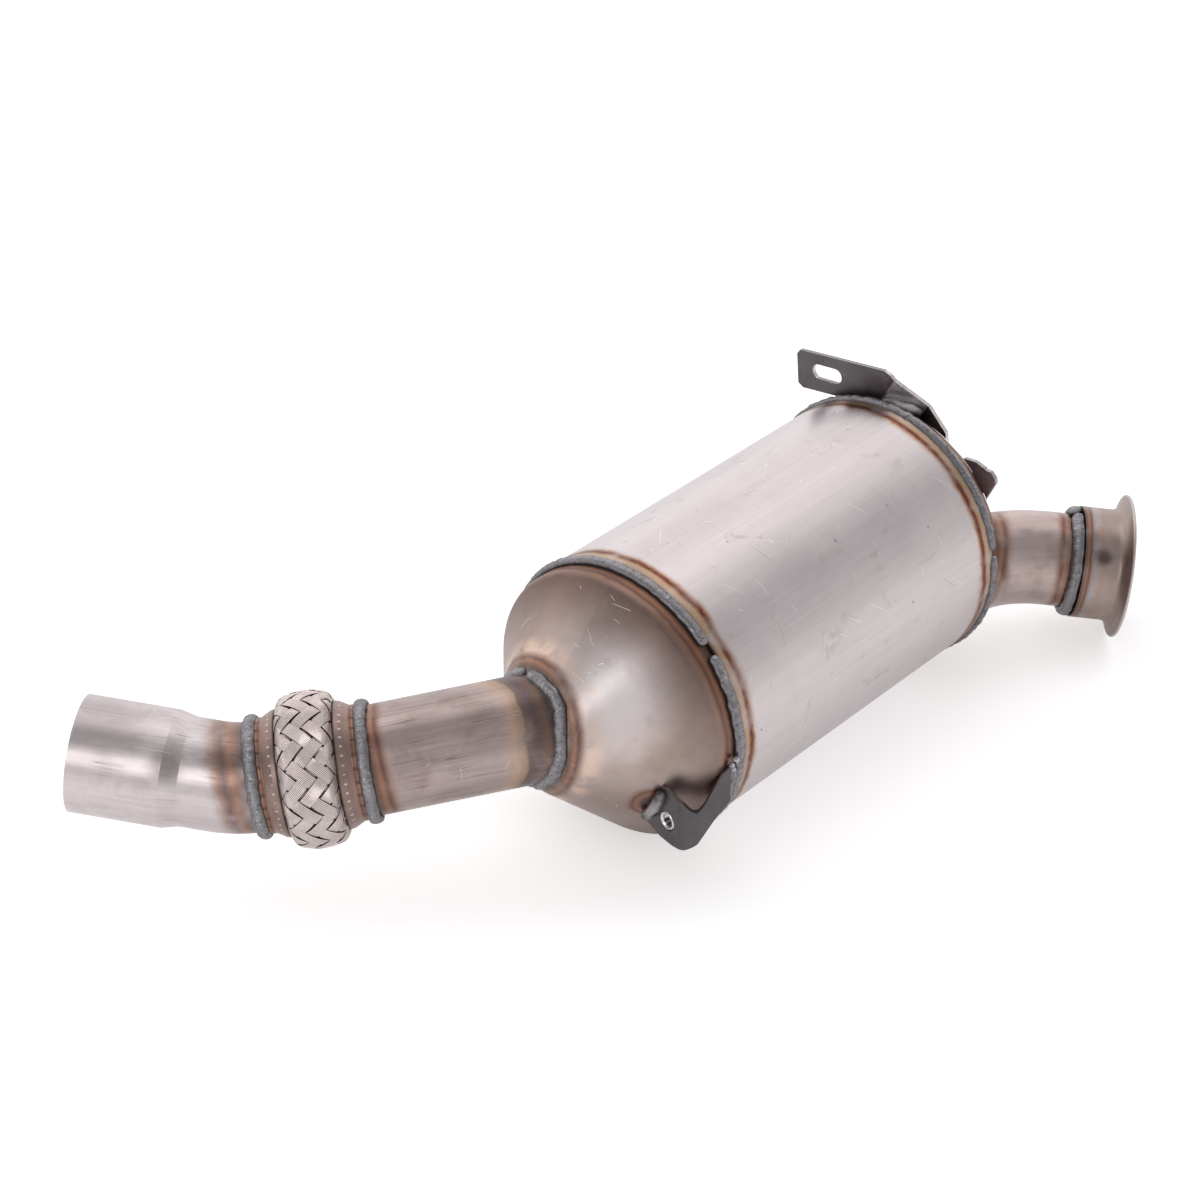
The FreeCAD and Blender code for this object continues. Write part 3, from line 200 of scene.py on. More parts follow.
# Shader sums
class Signal:
    """A node socket that can stand in a sum."""

    def __init__(self, tree, socket):
        self.tree = tree
        self.socket = socket

    def math(self, operation, *others):
        return node(self.tree, "ShaderNodeMath", {"operation": operation}, [self] + list(others))

    def __add__(self, other):
        return self.math("ADD", other)

    def __sub__(self, other):
        return self.math("SUBTRACT", other)

    def __mul__(self, other):
        return self.math("MULTIPLY", other)

    def __truediv__(self, other):
        return self.math("DIVIDE", other)

    def __pow__(self, other):
        return self.math("POWER", other)

    def __radd__(self, other):
        return self.math("ADD", other)

    def __rmul__(self, other):
        return self.math("MULTIPLY", other)

    def __rsub__(self, other):
        return node(self.tree, "ShaderNodeMath", {"operation": "SUBTRACT"}, [other, self])

    def absolute(self):
        return self.math("ABSOLUTE")

    def sine(self):
        return self.math("SINE")

    def least(self, other):
        return self.math("MINIMUM", other)

    def most(self, other):
        return self.math("MAXIMUM", other)

    def clamped(self):
        return node(self.tree, "ShaderNodeClamp", {}, {"Value": self, "Min": 0.0, "Max": 1.0})

    def between(self, low, high, first=0.0, last=1.0, smooth=True):
        """First below low, last above high, and a soft step from one to the other."""
        kind = "SMOOTHSTEP" if smooth else "LINEAR"
        return node(self.tree, "ShaderNodeMapRange", {"interpolation_type": kind, "clamp": True}, {
            "Value": self, "From Min": low, "From Max": high, "To Min": first, "To Max": last})

    def fades(self, low, high):
        """One below low, none above high, and a soft step between."""
        return self.between(low, high, 1.0, 0.0)

    def swing(self, amount):
        """Noise from 0 to 1 as a push either way, of half the amount at most."""
        return (self - 0.5) * amount


def node(tree, kind, settings, values, output=0):
    """Adds a node: its settings first, then the values or links of its sockets."""
    made = tree.nodes.new(kind)
    for name, setting in settings.items():
        if name == "stops":
            ramp = made.color_ramp
            while len(ramp.elements) < len(setting):
                ramp.elements.new(0.5)
            for element, (place, colour) in zip(ramp.elements, setting):
                element.position = place
                element.color = (*colour, 1.0)
        else:
            setattr(made, name, setting)
    pairs = enumerate(values) if isinstance(values, list) else values.items()
    for name, value in pairs:
        socket = made.inputs[name]
        if isinstance(value, Signal):
            tree.links.new(value.socket, socket)
        elif socket.type == "RGBA":
            socket.default_value = (*value, 1.0)
        else:
            socket.default_value = value
    return Signal(tree, made.outputs[output]) if made.outputs else None


class Finish:
    """One material: coordinates, patterns and the steel shader they feed."""

    def __init__(self, name):
        self.material = bpy.data.materials.new(name)
        self.material.use_nodes = True
        self.tree = self.material.node_tree
        self.tree.nodes.clear()
        self.place = node(self.tree, "ShaderNodeTexCoord", {}, {}, "Object")

    def add(self, kind, settings, values, output=0):
        return node(self.tree, kind, settings, values, output)

    def vector(self, operation, *values, output=0):
        return self.add("ShaderNodeVectorMath", {"operation": operation}, list(values), output)

    def dot(self, place, direction):
        return self.vector("DOT_PRODUCT", place, tuple(direction), output="Value")

    def plane(self, point, direction):
        """Distance in millimetres from a plane, along its direction."""
        return (self.dot(self.place, direction) - point.dot(direction)) * 1000.0

    def axis(self, point, along):
        """Distance in millimetres from a line."""
        off = self.vector("SUBTRACT", self.place, tuple(point))
        return self.vector("LENGTH", self.vector("CROSS_PRODUCT", off, tuple(along)), output="Value") * 1000.0

    def point(self, point):
        """Distance in millimetres from a point."""
        off = self.vector("SUBTRACT", self.place, tuple(point))
        return self.vector("LENGTH", off, output="Value") * 1000.0

    def round(self, point, along):
        """Place along and round a pipe, in millimetres and radians."""
        left, up = side_axes(along)
        far = self.plane(point, along)
        across = self.plane(point, left)
        rise = self.plane(point, up)
        return far, across.math("ARCTAN2", rise)

    def combine(self, x, y, z):
        return self.add("ShaderNodeCombineXYZ", {}, {"X": x, "Y": y, "Z": z})

    def scaled(self, place, x, y, z):
        return self.vector("MULTIPLY", place, (x, y, z))

    def noise(self, place, scale, detail=3.0, rough=0.55, bend=0.0):
        """Noise from 0 to 1 whose places are in millimetres; scale is per millimetre."""
        return self.add("ShaderNodeTexNoise", {"noise_dimensions": "3D"}, {
            "Vector": place, "Scale": scale, "Detail": detail, "Roughness": rough, "Distortion": bend})

    def cells(self, place, scale):
        """Distance from the middle of the nearest cell, as a share of a cell."""
        return self.add("ShaderNodeTexVoronoi", {}, {"Vector": place, "Scale": scale}, "Distance")

    def mark(self):
        """Number that the builder of a mesh gave each vertex."""
        return self.add("ShaderNodeAttribute", {"attribute_name": "mark"}, {}, "Fac")

    def millimetres(self):
        return self.scaled(self.place, 1000.0, 1000.0, 1000.0)

    def mix(self, amount, first, second, kind="MIX"):
        """Mix of two colours. The node's input 0 is the amount, 6 and 7 the colours, output 2 the mix."""
        return self.add(
            "ShaderNodeMix", {"data_type": "RGBA", "blend_type": kind}, {0: amount, 6: first, 7: second}, 2)

    def shaded(self, colour, level, green=1.0, blue=1.0):
        """Colour times a level, of which green and blue may take a share."""
        greens = level if green == 1.0 else level * green
        blues = level if blue == 1.0 else level * blue
        return self.mix(1.0, colour, self.combine(level, greens, blues), "MULTIPLY")

    def facing(self, direction):
        """How far the surface faces a direction, from -1 to 1."""
        return self.dot(self.add("ShaderNodeTexCoord", {}, {}, "Normal"), direction)

    def ramp(self, amount, stops):
        return self.add("ShaderNodeValToRGB", {"stops": stops}, {"Fac": amount}, "Color")

    def metal(self, colour, rough, height=None, depth=0.2, metallic=1.0):
        """Ends the material. Height is in millimetres times depth."""
        values = {"Base Color": colour, "Roughness": rough, "Metallic": metallic}
        if height is not None:
            values["Normal"] = self.add("ShaderNodeBump", {}, {
                "Strength": 1.0, "Distance": depth * MM, "Height": height})
        shader = self.add("ShaderNodeBsdfPrincipled", {}, values, "BSDF")
        self.add("ShaderNodeOutputMaterial", {}, {"Surface": shader})
        return self.material


# Colours that steel takes from welding heat, from the weld outwards
HEAT = [
    (0.00, (0.11, 0.070, 0.055)),
    (0.08, (0.20, 0.12, 0.08)),
    (0.18, (0.42, 0.31, 0.23)),
    (0.34, (0.48, 0.33, 0.22)),
    (0.46, (0.26, 0.085, 0.035)),
    (0.53, (0.10, 0.045, 0.058)),
    (0.63, (0.32, 0.130, 0.060)),
    (0.78, (0.54, 0.40, 0.30)),
    (1.00, (0.72, 0.65, 0.64)),
]

# Scale and rust beside a weld on tinted sheet, from the weld outwards
EMBER = [
    (0.00, (0.11, 0.070, 0.058)),
    (0.14, (0.15, 0.088, 0.066)),
    (0.34, (0.33, 0.160, 0.095)),
    (0.52, (0.14, 0.078, 0.070)),
    (0.70, (0.34, 0.200, 0.140)),
    (1.00, (0.46, 0.360, 0.320)),
]

# Blue-brown band between a root weld and its line on the pipe, then straw
SCALE_BAND = [
    (0.00, (0.040, 0.032, 0.033)),
    (0.10, (0.15, 0.090, 0.065)),
    (0.28, (0.115, 0.082, 0.085)),
    (0.46, (0.17, 0.120, 0.105)),
    (0.50, (0.36, 0.250, 0.180)),
    (0.68, (0.52, 0.370, 0.275)),
    (1.00, (0.48, 0.380, 0.330)),
]


def heat_tint(finish, colour, distance, reach, strength=1.0, wobble=0.25, seed=0.0, stops=HEAT):
    """Lays the heat colours over a colour; distance and reach are in millimetres."""
    place = finish.vector("ADD", finish.millimetres(), (seed, seed * 0.7, seed * 1.3))
    waves = (
        finish.noise(place, 0.035, 2.0) * (2 * wobble) + finish.noise(place, 0.12, 2.0) * wobble
        + finish.noise(place, 0.8, 2.0) * (0.4 * wobble))
    level = distance / reach * (1.0 - 1.7 * wobble + waves)
    tint = finish.ramp(level, stops)
    share = level.between(0.60, 1.0, strength, 0.0)
    share = share * finish.noise(place, 0.06, 2.0).between(0.3, 0.55, 0.6, 1.0)
    return finish.mix(share, colour, tint)


def root_gap(finish, name):
    """Distance in millimetres from the weld at a pipe's root, which lies nearly in one plane."""
    start, along, radius, line = ROOTS[name]
    middle = Vector(line.mean(0))
    across = Vector(np.linalg.svd(line - line.mean(0))[2][2])
    high = finish.plane(middle, across)
    wide = finish.axis(start, along) - radius * 1000.0
    return (high * high + wide * wide) ** 0.5


# Patterns that several finishes share
def streaks(finish, far, angle, radius, along_scale, across_scale, detail=3.0, rough=0.6):
    """Fine lines along a pipe; scales are per millimetre."""
    ring = angle * (radius * 1000.0 * across_scale)
    place = finish.combine(far * along_scale, ring, 0.0)
    return finish.noise(place, 1.0, detail, rough)


def scratches(finish, place, spacing, length, width, share, seed=0.0):
    """Short straight scratches, one in each kept cell, all lengths in millimetres."""
    moved = finish.vector("ADD", place, (seed, seed * 1.7, seed * 0.6))
    cell = finish.tree.nodes.new("ShaderNodeTexVoronoi")
    cell.inputs["Scale"].default_value = 1.0 / spacing
    finish.tree.links.new(moved.socket, cell.inputs["Vector"])
    colour = Signal(finish.tree, cell.outputs["Color"])
    centre = Signal(finish.tree, cell.outputs["Position"])
    off = finish.vector("SUBTRACT", moved, centre)
    across = finish.vector("NORMALIZE", finish.vector("SUBTRACT", colour, (0.5, 0.5, 0.5)))
    line = finish.vector("DOT_PRODUCT", off, across, output="Value").absolute()
    line = line.fades(width * 0.4, width)
    reach = finish.vector("LENGTH", off, output="Value").fades(length * 0.35, length * 0.5)
    kept = finish.vector("DOT_PRODUCT", colour, (1.0, 0.0, 0.0), output="Value")
    return line * reach * kept.fades(share, share + 0.001)


def scratch_pair(finish, place, long, short):
    """Long and short scratches; each has its spacing, length, width, share and seed."""
    return scratches(finish, place, *long).most(scratches(finish, place, *short))


def bare_sheet(finish, colour, far, angle, radius, shade=0.10):
    """Colour, roughness and height of a rolled or drawn sheet, from its lines, smudges and waves."""
    place = finish.millimetres()
    lines = streaks(finish, far, angle, radius, 0.035, 1.7)
    broad = streaks(finish, far, angle, radius, 0.006, 0.16, 2.0)
    smudge = finish.noise(place, 0.028, 4.0, 0.62, 0.4)
    grain = finish.noise(place, 2.2, 3.0, 0.6)
    medium = streaks(finish, far, angle, radius, 0.012, 0.45, 3.0)
    level = 1.0 - shade + smudge.swing(shade * 1.7) + lines.swing(shade * 1.1)
    level = level + broad.swing(shade) + medium.swing(shade * 1.6)
    tone = finish.shaded(colour, level, 0.995, 0.99)
    rough = 0.36 + smudge.swing(0.16) + lines.swing(0.10) + grain.swing(0.06)
    height = lines * 0.35 + grain * 0.12 + finish.noise(place, 0.05, 2.0) * 1.6
    return tone, rough, height


def can_finish(settings):
    finish = Finish("can_steel")
    far, angle = finish.round(on_axis(OUTLET_SEAM), CAN_AXIS)
    tone, rough, height = bare_sheet(finish, settings.steel, far, angle, CAN_RADIUS)
    place = finish.millimetres()
    patch = finish.noise(finish.scaled(place, 0.6, 1.0, 1.0), 0.075, 4.0, 0.6, 0.8).between(0.60, 0.72)
    tone = finish.mix(patch * 0.30, tone, (0.40, 0.31, 0.285))
    wipe = finish.noise(finish.scaled(place, 0.9, 0.12, 0.12), 0.22, 3.0, 0.6).between(0.58, 0.72)
    tone = finish.mix(wipe * 0.10, tone, (0.46, 0.40, 0.39))
    bright = scratch_pair(finish, place, (21.0, 17.0, 0.18, 0.22), (8.0, 5.0, 0.22, 0.15, 40.0))
    tone = finish.mix(bright * 0.75, tone, (0.95, 0.93, 0.93))
    dull = scratch_pair(finish, place, (21.0, 19.0, 0.16, 0.25, 90.0), (8.0, 5.0, 0.18, 0.15, 130.0))
    tone = finish.mix(dull * 0.5, tone, (0.30, 0.25, 0.24))
    pits = finish.cells(place, 0.055).fades(0.025, 0.055)
    tone = finish.mix(pits * 0.7, tone, (0.26, 0.20, 0.19))
    edge = far.least(-1.0 * finish.plane(Vector((INLET_SEAM, 0, 0)), CAN_AXIS))
    tone = heat_tint(finish, tone, edge, 14.0, 1.0, 0.30)
    height = height - dull * 0.5 - bright * 0.5 - pits * 0.6 + patch * 0.2
    return finish.metal(tone, rough - 0.04 + patch * 0.08, height, 0.05)


def cone_finish(name, settings, seam, way, root, seed, spots=(), painted_light=None):
    """Pressed cone, tinted all over, darker at its rim and round its pipe and brackets.
    Round the place called painted_light it is paler, a painted highlight."""
    finish = Finish(name)
    far, angle = finish.round(on_axis(seam), CAN_AXIS * way)
    place = finish.vector("ADD", finish.millimetres(), (seed, seed, seed))
    cloud = finish.noise(place, 0.018, 3.0, 0.55, 0.6)
    haze = finish.noise(place, 0.07, 3.0, 0.6)
    grain = finish.noise(place, 1.4, 4.0, 0.65)
    ticks = finish.noise(finish.combine(far * 0.16, angle * 95.0, 0.0), 1.0, 2.0, 0.5)
    drawn = far.between(8.0, 14.0) * far.fades(26.0, 44.0) * haze.between(0.40, 0.55)
    level = 0.97 + haze.swing(0.30) + grain.swing(0.10) + ticks.swing(drawn) * 0.45
    tone = finish.mix(cloud.between(0.36, 0.58), settings.cone_steel, (0.53, 0.445, 0.425))
    tone = finish.shaded(tone, level, 0.985, 0.97)
    high = finish.plane(Vector((0, 0, 60 * MM)), Vector((0, 0, 1)))
    left = finish.plane(Vector((0, 95 * MM, 0)), Vector((0, 1, 0)))
    if painted_light is not None:
        # Painted highlight: a pale patch of steel round one spot of the cone
        painted_highlight = finish.point(painted_light).fades(6.0, 44.0) * haze.between(0.25, 0.5, 0.75, 1.0)
        tone = finish.mix(painted_highlight * 0.95, tone, (0.92, 0.855, 0.85))
    # Painted shade: darker where y passes about 95 mm, and towards the bottom
    side = left.between(-5.0, 35.0, 0.0, 0.75) * haze.between(0.3, 0.6, 0.7, 1.0)
    tone = finish.mix(side, tone, (0.30, 0.21, 0.175))
    under = high.between(-60.0, -15.0, 0.6, 0.0) * haze.between(0.3, 0.6, 0.7, 1.0)
    tone = finish.mix(under, tone, (0.26, 0.175, 0.15))
    rim = far.between(6.0, 36.0, 1.0, 0.0, smooth=False)
    rim = (rim * (0.65 + cloud * 0.6 + high.between(0.0, 40.0, 0.0, 0.35))).clamped()
    tone = finish.mix(rim * 0.94, tone, (0.150, 0.088, 0.072))
    gap = root_gap(finish, root)
    # Painted highlight: a warm pale ring 8 to 22 mm from the root weld
    flare_highlight = gap.between(8.0, 12.0) * gap.fades(13.0, 22.0) * haze.between(0.35, 0.6)
    tone = finish.mix(flare_highlight * 0.65, tone, (0.84, 0.63, 0.50))
    fine = scratch_pair(finish, place, (15.0, 13.0, 0.19, 0.20), (7.0, 5.0, 0.18, 0.12, 50.0))
    tone = finish.mix(fine * 0.75, tone, (0.90, 0.86, 0.83))
    dots = finish.cells(place, 0.09).fades(0.03, 0.06)
    tone = finish.mix(dots * 0.6, tone, (0.10, 0.07, 0.06))
    tone = heat_tint(finish, tone, gap - 3.2, 9.0, 0.9, 0.3, seed, EMBER)
    tone = heat_tint(finish, tone, far - 3.2, 12.5, 0.85, 0.25, seed + 5.0, EMBER)
    for spot, reach in spots:
        tone = heat_tint(finish, tone, finish.point(spot) - 6.0, reach, 0.85, 0.3, 31.0, EMBER)
    rough = 0.31 + cloud.swing(0.12) + grain.swing(0.08) + rim * 0.10 - fine * 0.08
    height = grain * 0.3 + ticks * drawn * 0.8 + finish.noise(place, 0.045, 2.0) * 2.5
    height = height - fine * 0.5 - dots * 0.6
    return finish.metal(tone, rough, height, 0.06)


def pipe_finish(name, colour, point, along, radius, heats, shade=0.12, seed=0.0, shade_spots=()):
    """Drawn pipe with lengthwise lines and spots of painted shade. Each heat has a distance, a reach, a
    strength and its colours.
    """
    finish = Finish(name)
    far, angle = finish.round(point, along)
    tone, rough, height = bare_sheet(finish, colour, far, angle, radius, shade)
    place = finish.millimetres()
    groove = streaks(finish, far + seed * 30.0, angle, radius, 0.007, 0.55, 1.0, 0.4)
    groove = (groove - 0.5).absolute().fades(0.0, 0.018)
    groove = groove * finish.noise(place, 0.06, 1.0).between(0.45, 0.6)
    tone = finish.mix(groove * shade * 2.6, tone, (0.10, 0.075, 0.07))
    cloud = finish.noise(place, 0.05, 3.0, 0.6, 0.5).between(0.45, 0.75)
    tone = finish.mix(cloud * shade * 1.6, tone, (0.20, 0.135, 0.11))
    # Painted shade: dark spots on the tail, at the foot of its taper and on top by its open end
    for spot, near, reach, amount in shade_spots:
        dark = finish.point(spot) * (0.8 + finish.noise(place, 0.15, 2.0) * 0.4)
        tone = finish.mix(dark.between(near, reach, amount, 0.0), tone, (0.20, 0.16, 0.16))
    marks = scratches(finish, place, 14.0, 9.0, 0.16, 0.2, seed * 10.0)
    tone = finish.mix(marks * 0.6, tone, (0.86, 0.82, 0.80))
    for number, (distance, width, strength, stops) in enumerate(heats):
        tone = heat_tint(finish, tone, distance(finish), width, strength, 0.28, seed + 11.0 * number, stops)
    return finish.metal(tone, rough - 0.03, height - marks * 0.4 - groove * 1.5, 0.05)


def weld_finish(settings):
    finish = Finish("rippled_weld")
    place = finish.millimetres()
    cloud = finish.noise(place, 0.16, 3.0, 0.6, 0.5)
    grain = finish.noise(place, 1.6, 4.0, 0.7)
    slag = finish.noise(place, 0.55, 3.0, 0.6).between(0.55, 0.66)
    level = 1.05 + cloud.swing(0.8) + grain.swing(0.4)
    tone = finish.shaded(settings.weld, level)
    tone = finish.mix(slag * 0.5, tone, (0.12, 0.10, 0.095))
    glint = finish.noise(place, 0.9, 2.0).between(0.60, 0.68)
    tone = finish.mix(glint * 0.7, tone, (0.62, 0.62, 0.66))
    # Painted shade: dark along the toes of the bead, underneath and in the troughs of its ripples
    toe_shade = finish.mark() + grain.swing(0.5)
    tone = finish.mix(toe_shade.between(0.84, 1.0) * 0.7, tone, (0.075, 0.058, 0.055))
    tone = finish.mix(toe_shade.between(0.25, 0.5, 0.0, 0.30), tone, (0.07, 0.07, 0.075))
    splash_and_highlight = finish.point(SPLASH).between(3.0, 4.5, 0.75, 0.0)
    splash_and_highlight = splash_and_highlight.most(finish.point(UPPER_SPLASH).between(4.0, 9.0, 0.5, 0.0))
    # Painted highlight: the lower left bead is made pale round LOWER_LEFT_SPOT; the other two spots are weld
    # splash
    splash_and_highlight = splash_and_highlight.most(finish.point(LOWER_LEFT_SPOT).between(6.0, 11.0, 0.45, 0.0))
    tone = finish.mix(splash_and_highlight * (0.55 + grain * 0.6), tone, (0.80, 0.79, 0.80))
    rough = 0.42 + grain.swing(0.25) + slag * 0.2 - glint * 0.15
    return finish.metal(tone, rough, grain * 0.7 + cloud * 0.6, 0.10, 0.85)


def braid_finish():
    """Wires side by side in each ribbon, with a dark line of painted shade between two, and painted shade
    where they dip.
    """
    finish = Finish("braid_wire")
    place = finish.millimetres()
    cloud = finish.noise(place, 0.12, 3.0)
    grain = finish.noise(place, 1.5, 3.0)
    wire = (finish.mark() * math.pi).sine().absolute()
    level = 0.92 + cloud.swing(0.30) + grain.swing(0.20)
    tone = finish.shaded((0.80, 0.715, 0.70), level, 0.985, 0.97)
    ends = finish.plane(FLEX_CENTRE, FLEX_AXIS).absolute().between(9.0, 15.0)
    tone = finish.mix(ends * 0.35, tone, (0.34, 0.25, 0.21))
    # Painted shade where the ribbons dip below the crown of the sleeve
    low = finish.axis(FLEX_CENTRE, FLEX_AXIS)
    along = finish.plane(FLEX_CENTRE, FLEX_AXIS)
    crown = SLEEVE_TOP - along * along * (SLEEVE_FALL / SLEEVE_CROWN ** 2)
    sunk_shade = (crown - low).between(0.45, 1.05) * along.absolute().fades(7.5, 9.0)
    tone = finish.mix(sunk_shade * 0.8, tone, (0.10, 0.075, 0.065))
    # Painted shade: a dark line between two wires
    tone = finish.mix(wire.between(0.0, 0.6, 0.65, 0.0), tone, (0.13, 0.10, 0.09))
    rough = 0.22 + cloud.swing(0.12) + grain.swing(0.10)
    return finish.metal(tone, rough, wire * 1.6 + grain * 0.4, 0.07)


def dark_finish(name, settings, seed, rust, faces, turned, shine, lift):
    """Hot rolled sheet: dark scale, faint rust and paler cut edges, which turn away from where it faces.
    The panel that is turned the given way is paler as well, which is painted light, and a lift above 1
    lightens the whole sheet as painted light."""
    finish = Finish(name)
    place = finish.vector("ADD", finish.millimetres(), (seed, -seed, seed * 2))
    cloud = finish.noise(place, 0.05, 4.0, 0.6, 0.5)
    grain = finish.noise(place, 1.3, 4.0, 0.65)
    lines = finish.noise(finish.scaled(place, 1.0, 0.08, 1.0), 1.2, 3.0, 0.6)
    # Lift lightens the whole sheet: painted light on the ear bracket
    level = (0.9 + cloud.swing(0.8) + grain.swing(0.3) + lines.swing(0.25)) * lift
    tone = finish.shaded(settings.scale_steel, level)
    brown = finish.noise(place, 0.12, 3.0).between(0.52, 0.70)
    tone = finish.mix(brown * rust, tone, (0.20, 0.10, 0.06))
    fine = scratches(finish, place, 9.0, 7.0, 0.16, 0.3, seed)
    tone = finish.mix(fine * 0.4, tone, (0.5, 0.47, 0.46))
    facing = finish.facing(faces).absolute()
    tone = finish.mix(facing.between(0.12, 0.3, 0.6, 0.0), tone, (0.42, 0.41, 0.41))
    # Painted light: the panel turned the given way is paler
    if turned is not None:
        panel = finish.facing(turned).between(0.14, 0.26) * 0.9
        painted_light = finish.mix(lines.between(0.35, 0.65), (0.55, 0.51, 0.51), (0.86, 0.82, 0.82))
        tone = finish.mix(panel, tone, painted_light)
    rough = 0.37 - shine + cloud.swing(0.2) + grain.swing(0.12)
    return finish.metal(tone, rough, grain * 0.6 + lines * 0.3, 0.06, 0.9)


def plain_finish(name, colour, rough, metallic, scale, depth):
    """Finish of a piece that is hidden inside: mottled, with a fine grain."""
    finish = Finish(name)
    place = finish.millimetres()
    cloud = finish.noise(place, 0.08, 3.0)
    grain = finish.noise(place, scale, 3.0)
    level = 0.9 + cloud.swing(0.3) + grain.swing(0.3)
    tone = finish.shaded(colour, level)
    return finish.metal(tone, rough + grain.swing(0.2), grain, depth, metallic)


# Weld beads: points round a bead, steps along it, and places of the seam and flex beads
BEAD_AROUND = 20
BEAD_STEP = 0.22 * MM
FINE_STEP = 0.18 * MM
SEAM_SINK = 1.0 * MM
FLEX_WELD = 28.4 * MM


def run_length(points):
    """Distance along a line at each of its points."""
    gaps = np.linalg.norm(np.diff(points, axis=0), axis=1)
    return np.concatenate([[0], np.cumsum(gaps)])


def smooth_noise(points, scale, seed):
    return np.array([noise.noise(Vector((p[0] * scale + seed, p[1] * scale, p[2] * scale))) for p in points])


def face_out(mesh):
    """Turns the faces over if the volume that they close comes out negative."""
    corners = np.array([v.co for v in mesh.vertices])
    corners -= corners.mean(0)
    mesh.calc_loop_triangles()
    threes = corners[np.array([t.vertices for t in mesh.loop_triangles])]
    if np.einsum("ij,ij->", threes[:, 0], np.cross(threes[:, 1], threes[:, 2])) < 0:
        mesh.flip_normals()


def mesh_piece(name, shape, nodes, material, sharp=None):
    """Adds a mesh that stands for a node. A shape is vertices, faces and a number for each vertex.
    Edges that bend by more than sharp, in degrees, stay crisp."""
    vertices, faces, marks = shape
    mesh = bpy.data.meshes.new(name)
    mesh.from_pydata([tuple(v) for v in vertices], [], [tuple(f) for f in faces])
    mark = mesh.attributes.new("mark", "FLOAT", "POINT")
    mark.data.foreach_set("value", np.asarray(marks, np.float32))
    face_out(mesh)
    mesh.shade_smooth()
    if sharp is not None:
        mesh.set_sharp_from_angle(angle=math.radians(sharp))
    piece = bpy.data.objects.new(name, mesh)
    bpy.context.scene.collection.objects.link(piece)
    mesh.materials.append(material)
    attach(piece, "root")
    for cad_node in nodes:
        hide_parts(cad_node)


def bead_shape(settings, line, across, up, down, seed, rough):
    """Vertices and faces of a bead along a line. Across is half its width, up and down are its heights off
    and into the metal. The line's outs point off the metal and its sides across the bead."""
    centres, outs, sides = (np.array(a, float) for a in line)
    count = len(centres)
    around = BEAD_AROUND
    length = run_length(centres)
    total = length[-1]
    angle = np.arange(around) * 2 * np.pi / around
    near = np.minimum(length, total - length) / (across * 1.1)
    cap = np.sqrt(np.clip(1 - (1 - np.clip(near, 0, 1)) ** 2, 0, 1))
    cap = np.maximum(cap, 0.06)
    swell = (1 + 0.10 * rough * smooth_noise(centres / MM, 0.22, seed)) * cap
    lift = (1 + 0.22 * rough * smooth_noise(centres / MM, 0.30, seed + 9)) * cap
    drift = 0.10 * across * rough * smooth_noise(centres / MM, 0.18, seed + 21)
    v = np.sin(angle)[None, :]
    u = np.cos(angle)[None, :]
    pitch = settings.bead_pitch
    beats = total / pitch
    sway = smooth_noise(centres / MM, 0.12, seed + 40)[:, None] * 0.8
    phase = length[:, None] / total * beats + 0.55 * across / pitch * v * v + sway
    part = phase - np.floor(phase)
    ripple = (1 - (2 * part - 1) ** 2) * settings.bead_ripple * np.clip(u, 0, 1) ** 0.5
    tall = np.where(u > 0, up, down)
    wide = across * swell[:, None] * v + drift[:, None]
    high = tall * lift[:, None] * u
    place = centres[:, None, :] + sides[:, None, :] * wide[..., None] + outs[:, None, :] * high[..., None]
    place = place.reshape(-1, 3)
    fine = smooth_noise(place / MM, 0.9, seed + 3).reshape(count, around)
    patch = np.clip(0.75 + 0.8 * smooth_noise(place / MM, 0.12, seed + 5).reshape(count, around), 0.15, 1.4)
    push = ripple * patch + (0.07 * rough * MM) * fine * np.clip(u + 0.2, 0, 1)
    push = push * cap[:, None]
    normal = sides[:, None, :] * (v * 0.7)[..., None] + outs[:, None, :] * u[..., None]
    place = place.reshape(count, around, 3) + normal * push[..., None]
    faces = []
    for i in range(count - 1):
        j = i + 1
        for k in range(around):
            m = (k + 1) % around
            faces.append((i * around + k, j * around + k, j * around + m, i * around + m))
    faces.append(tuple(range(around)))
    faces.append(tuple(range((count - 1) * around, count * around))[::-1])
    # Each vertex's number marks painted shade: full at the toes and underneath, some in the troughs of the
    # ripples
    toe_shade = np.where(u > 0, np.abs(v), 1.0) * np.ones_like(phase)
    hollow = (2 * part - 1) ** 4 * 0.45
    return place.reshape(-1, 3), faces, np.maximum(toe_shade, hollow).reshape(-1)


def joined(parts):
    """One shape from several."""
    vertices, faces, marks, base = [], [], [], 0
    for some, fours, numbers in parts:
        vertices.append(some)
        marks.append(numbers)
        faces += [tuple(base + k for k in face) for face in fours]
        base += len(some)
    return np.concatenate(vertices), faces, np.concatenate(marks)


def unmarked(vertices, faces):
    """Shape whose vertices all have the number 0."""
    return np.array([tuple(v) for v in vertices]), faces, np.zeros(len(vertices))


def bead_piece(name, parts, cad_node, material):
    mesh_piece(name, joined(parts), [cad_node], material)


def ring_line(centre, along, radius, first, sweep, step=BEAD_STEP, lean=0.0):
    """Points round an axis, with the way out and the way across at each. Angles run from its left side up.
    The way out leans along the axis."""
    left, up = side_axes(along)
    count = int(2 * math.pi * radius * sweep / 360.0 / step)
    centres, outs, sides = [], [], []
    for number in range(count):
        a = math.radians(first + sweep * (number / (count - 1)))
        way = left * math.cos(a) + up * math.sin(a)
        centres.append(centre + way * radius)
        outs.append(way * math.cos(lean) + along * math.sin(lean))
        sides.append(along * math.cos(lean) - way * math.sin(lean))
    return centres, outs, sides


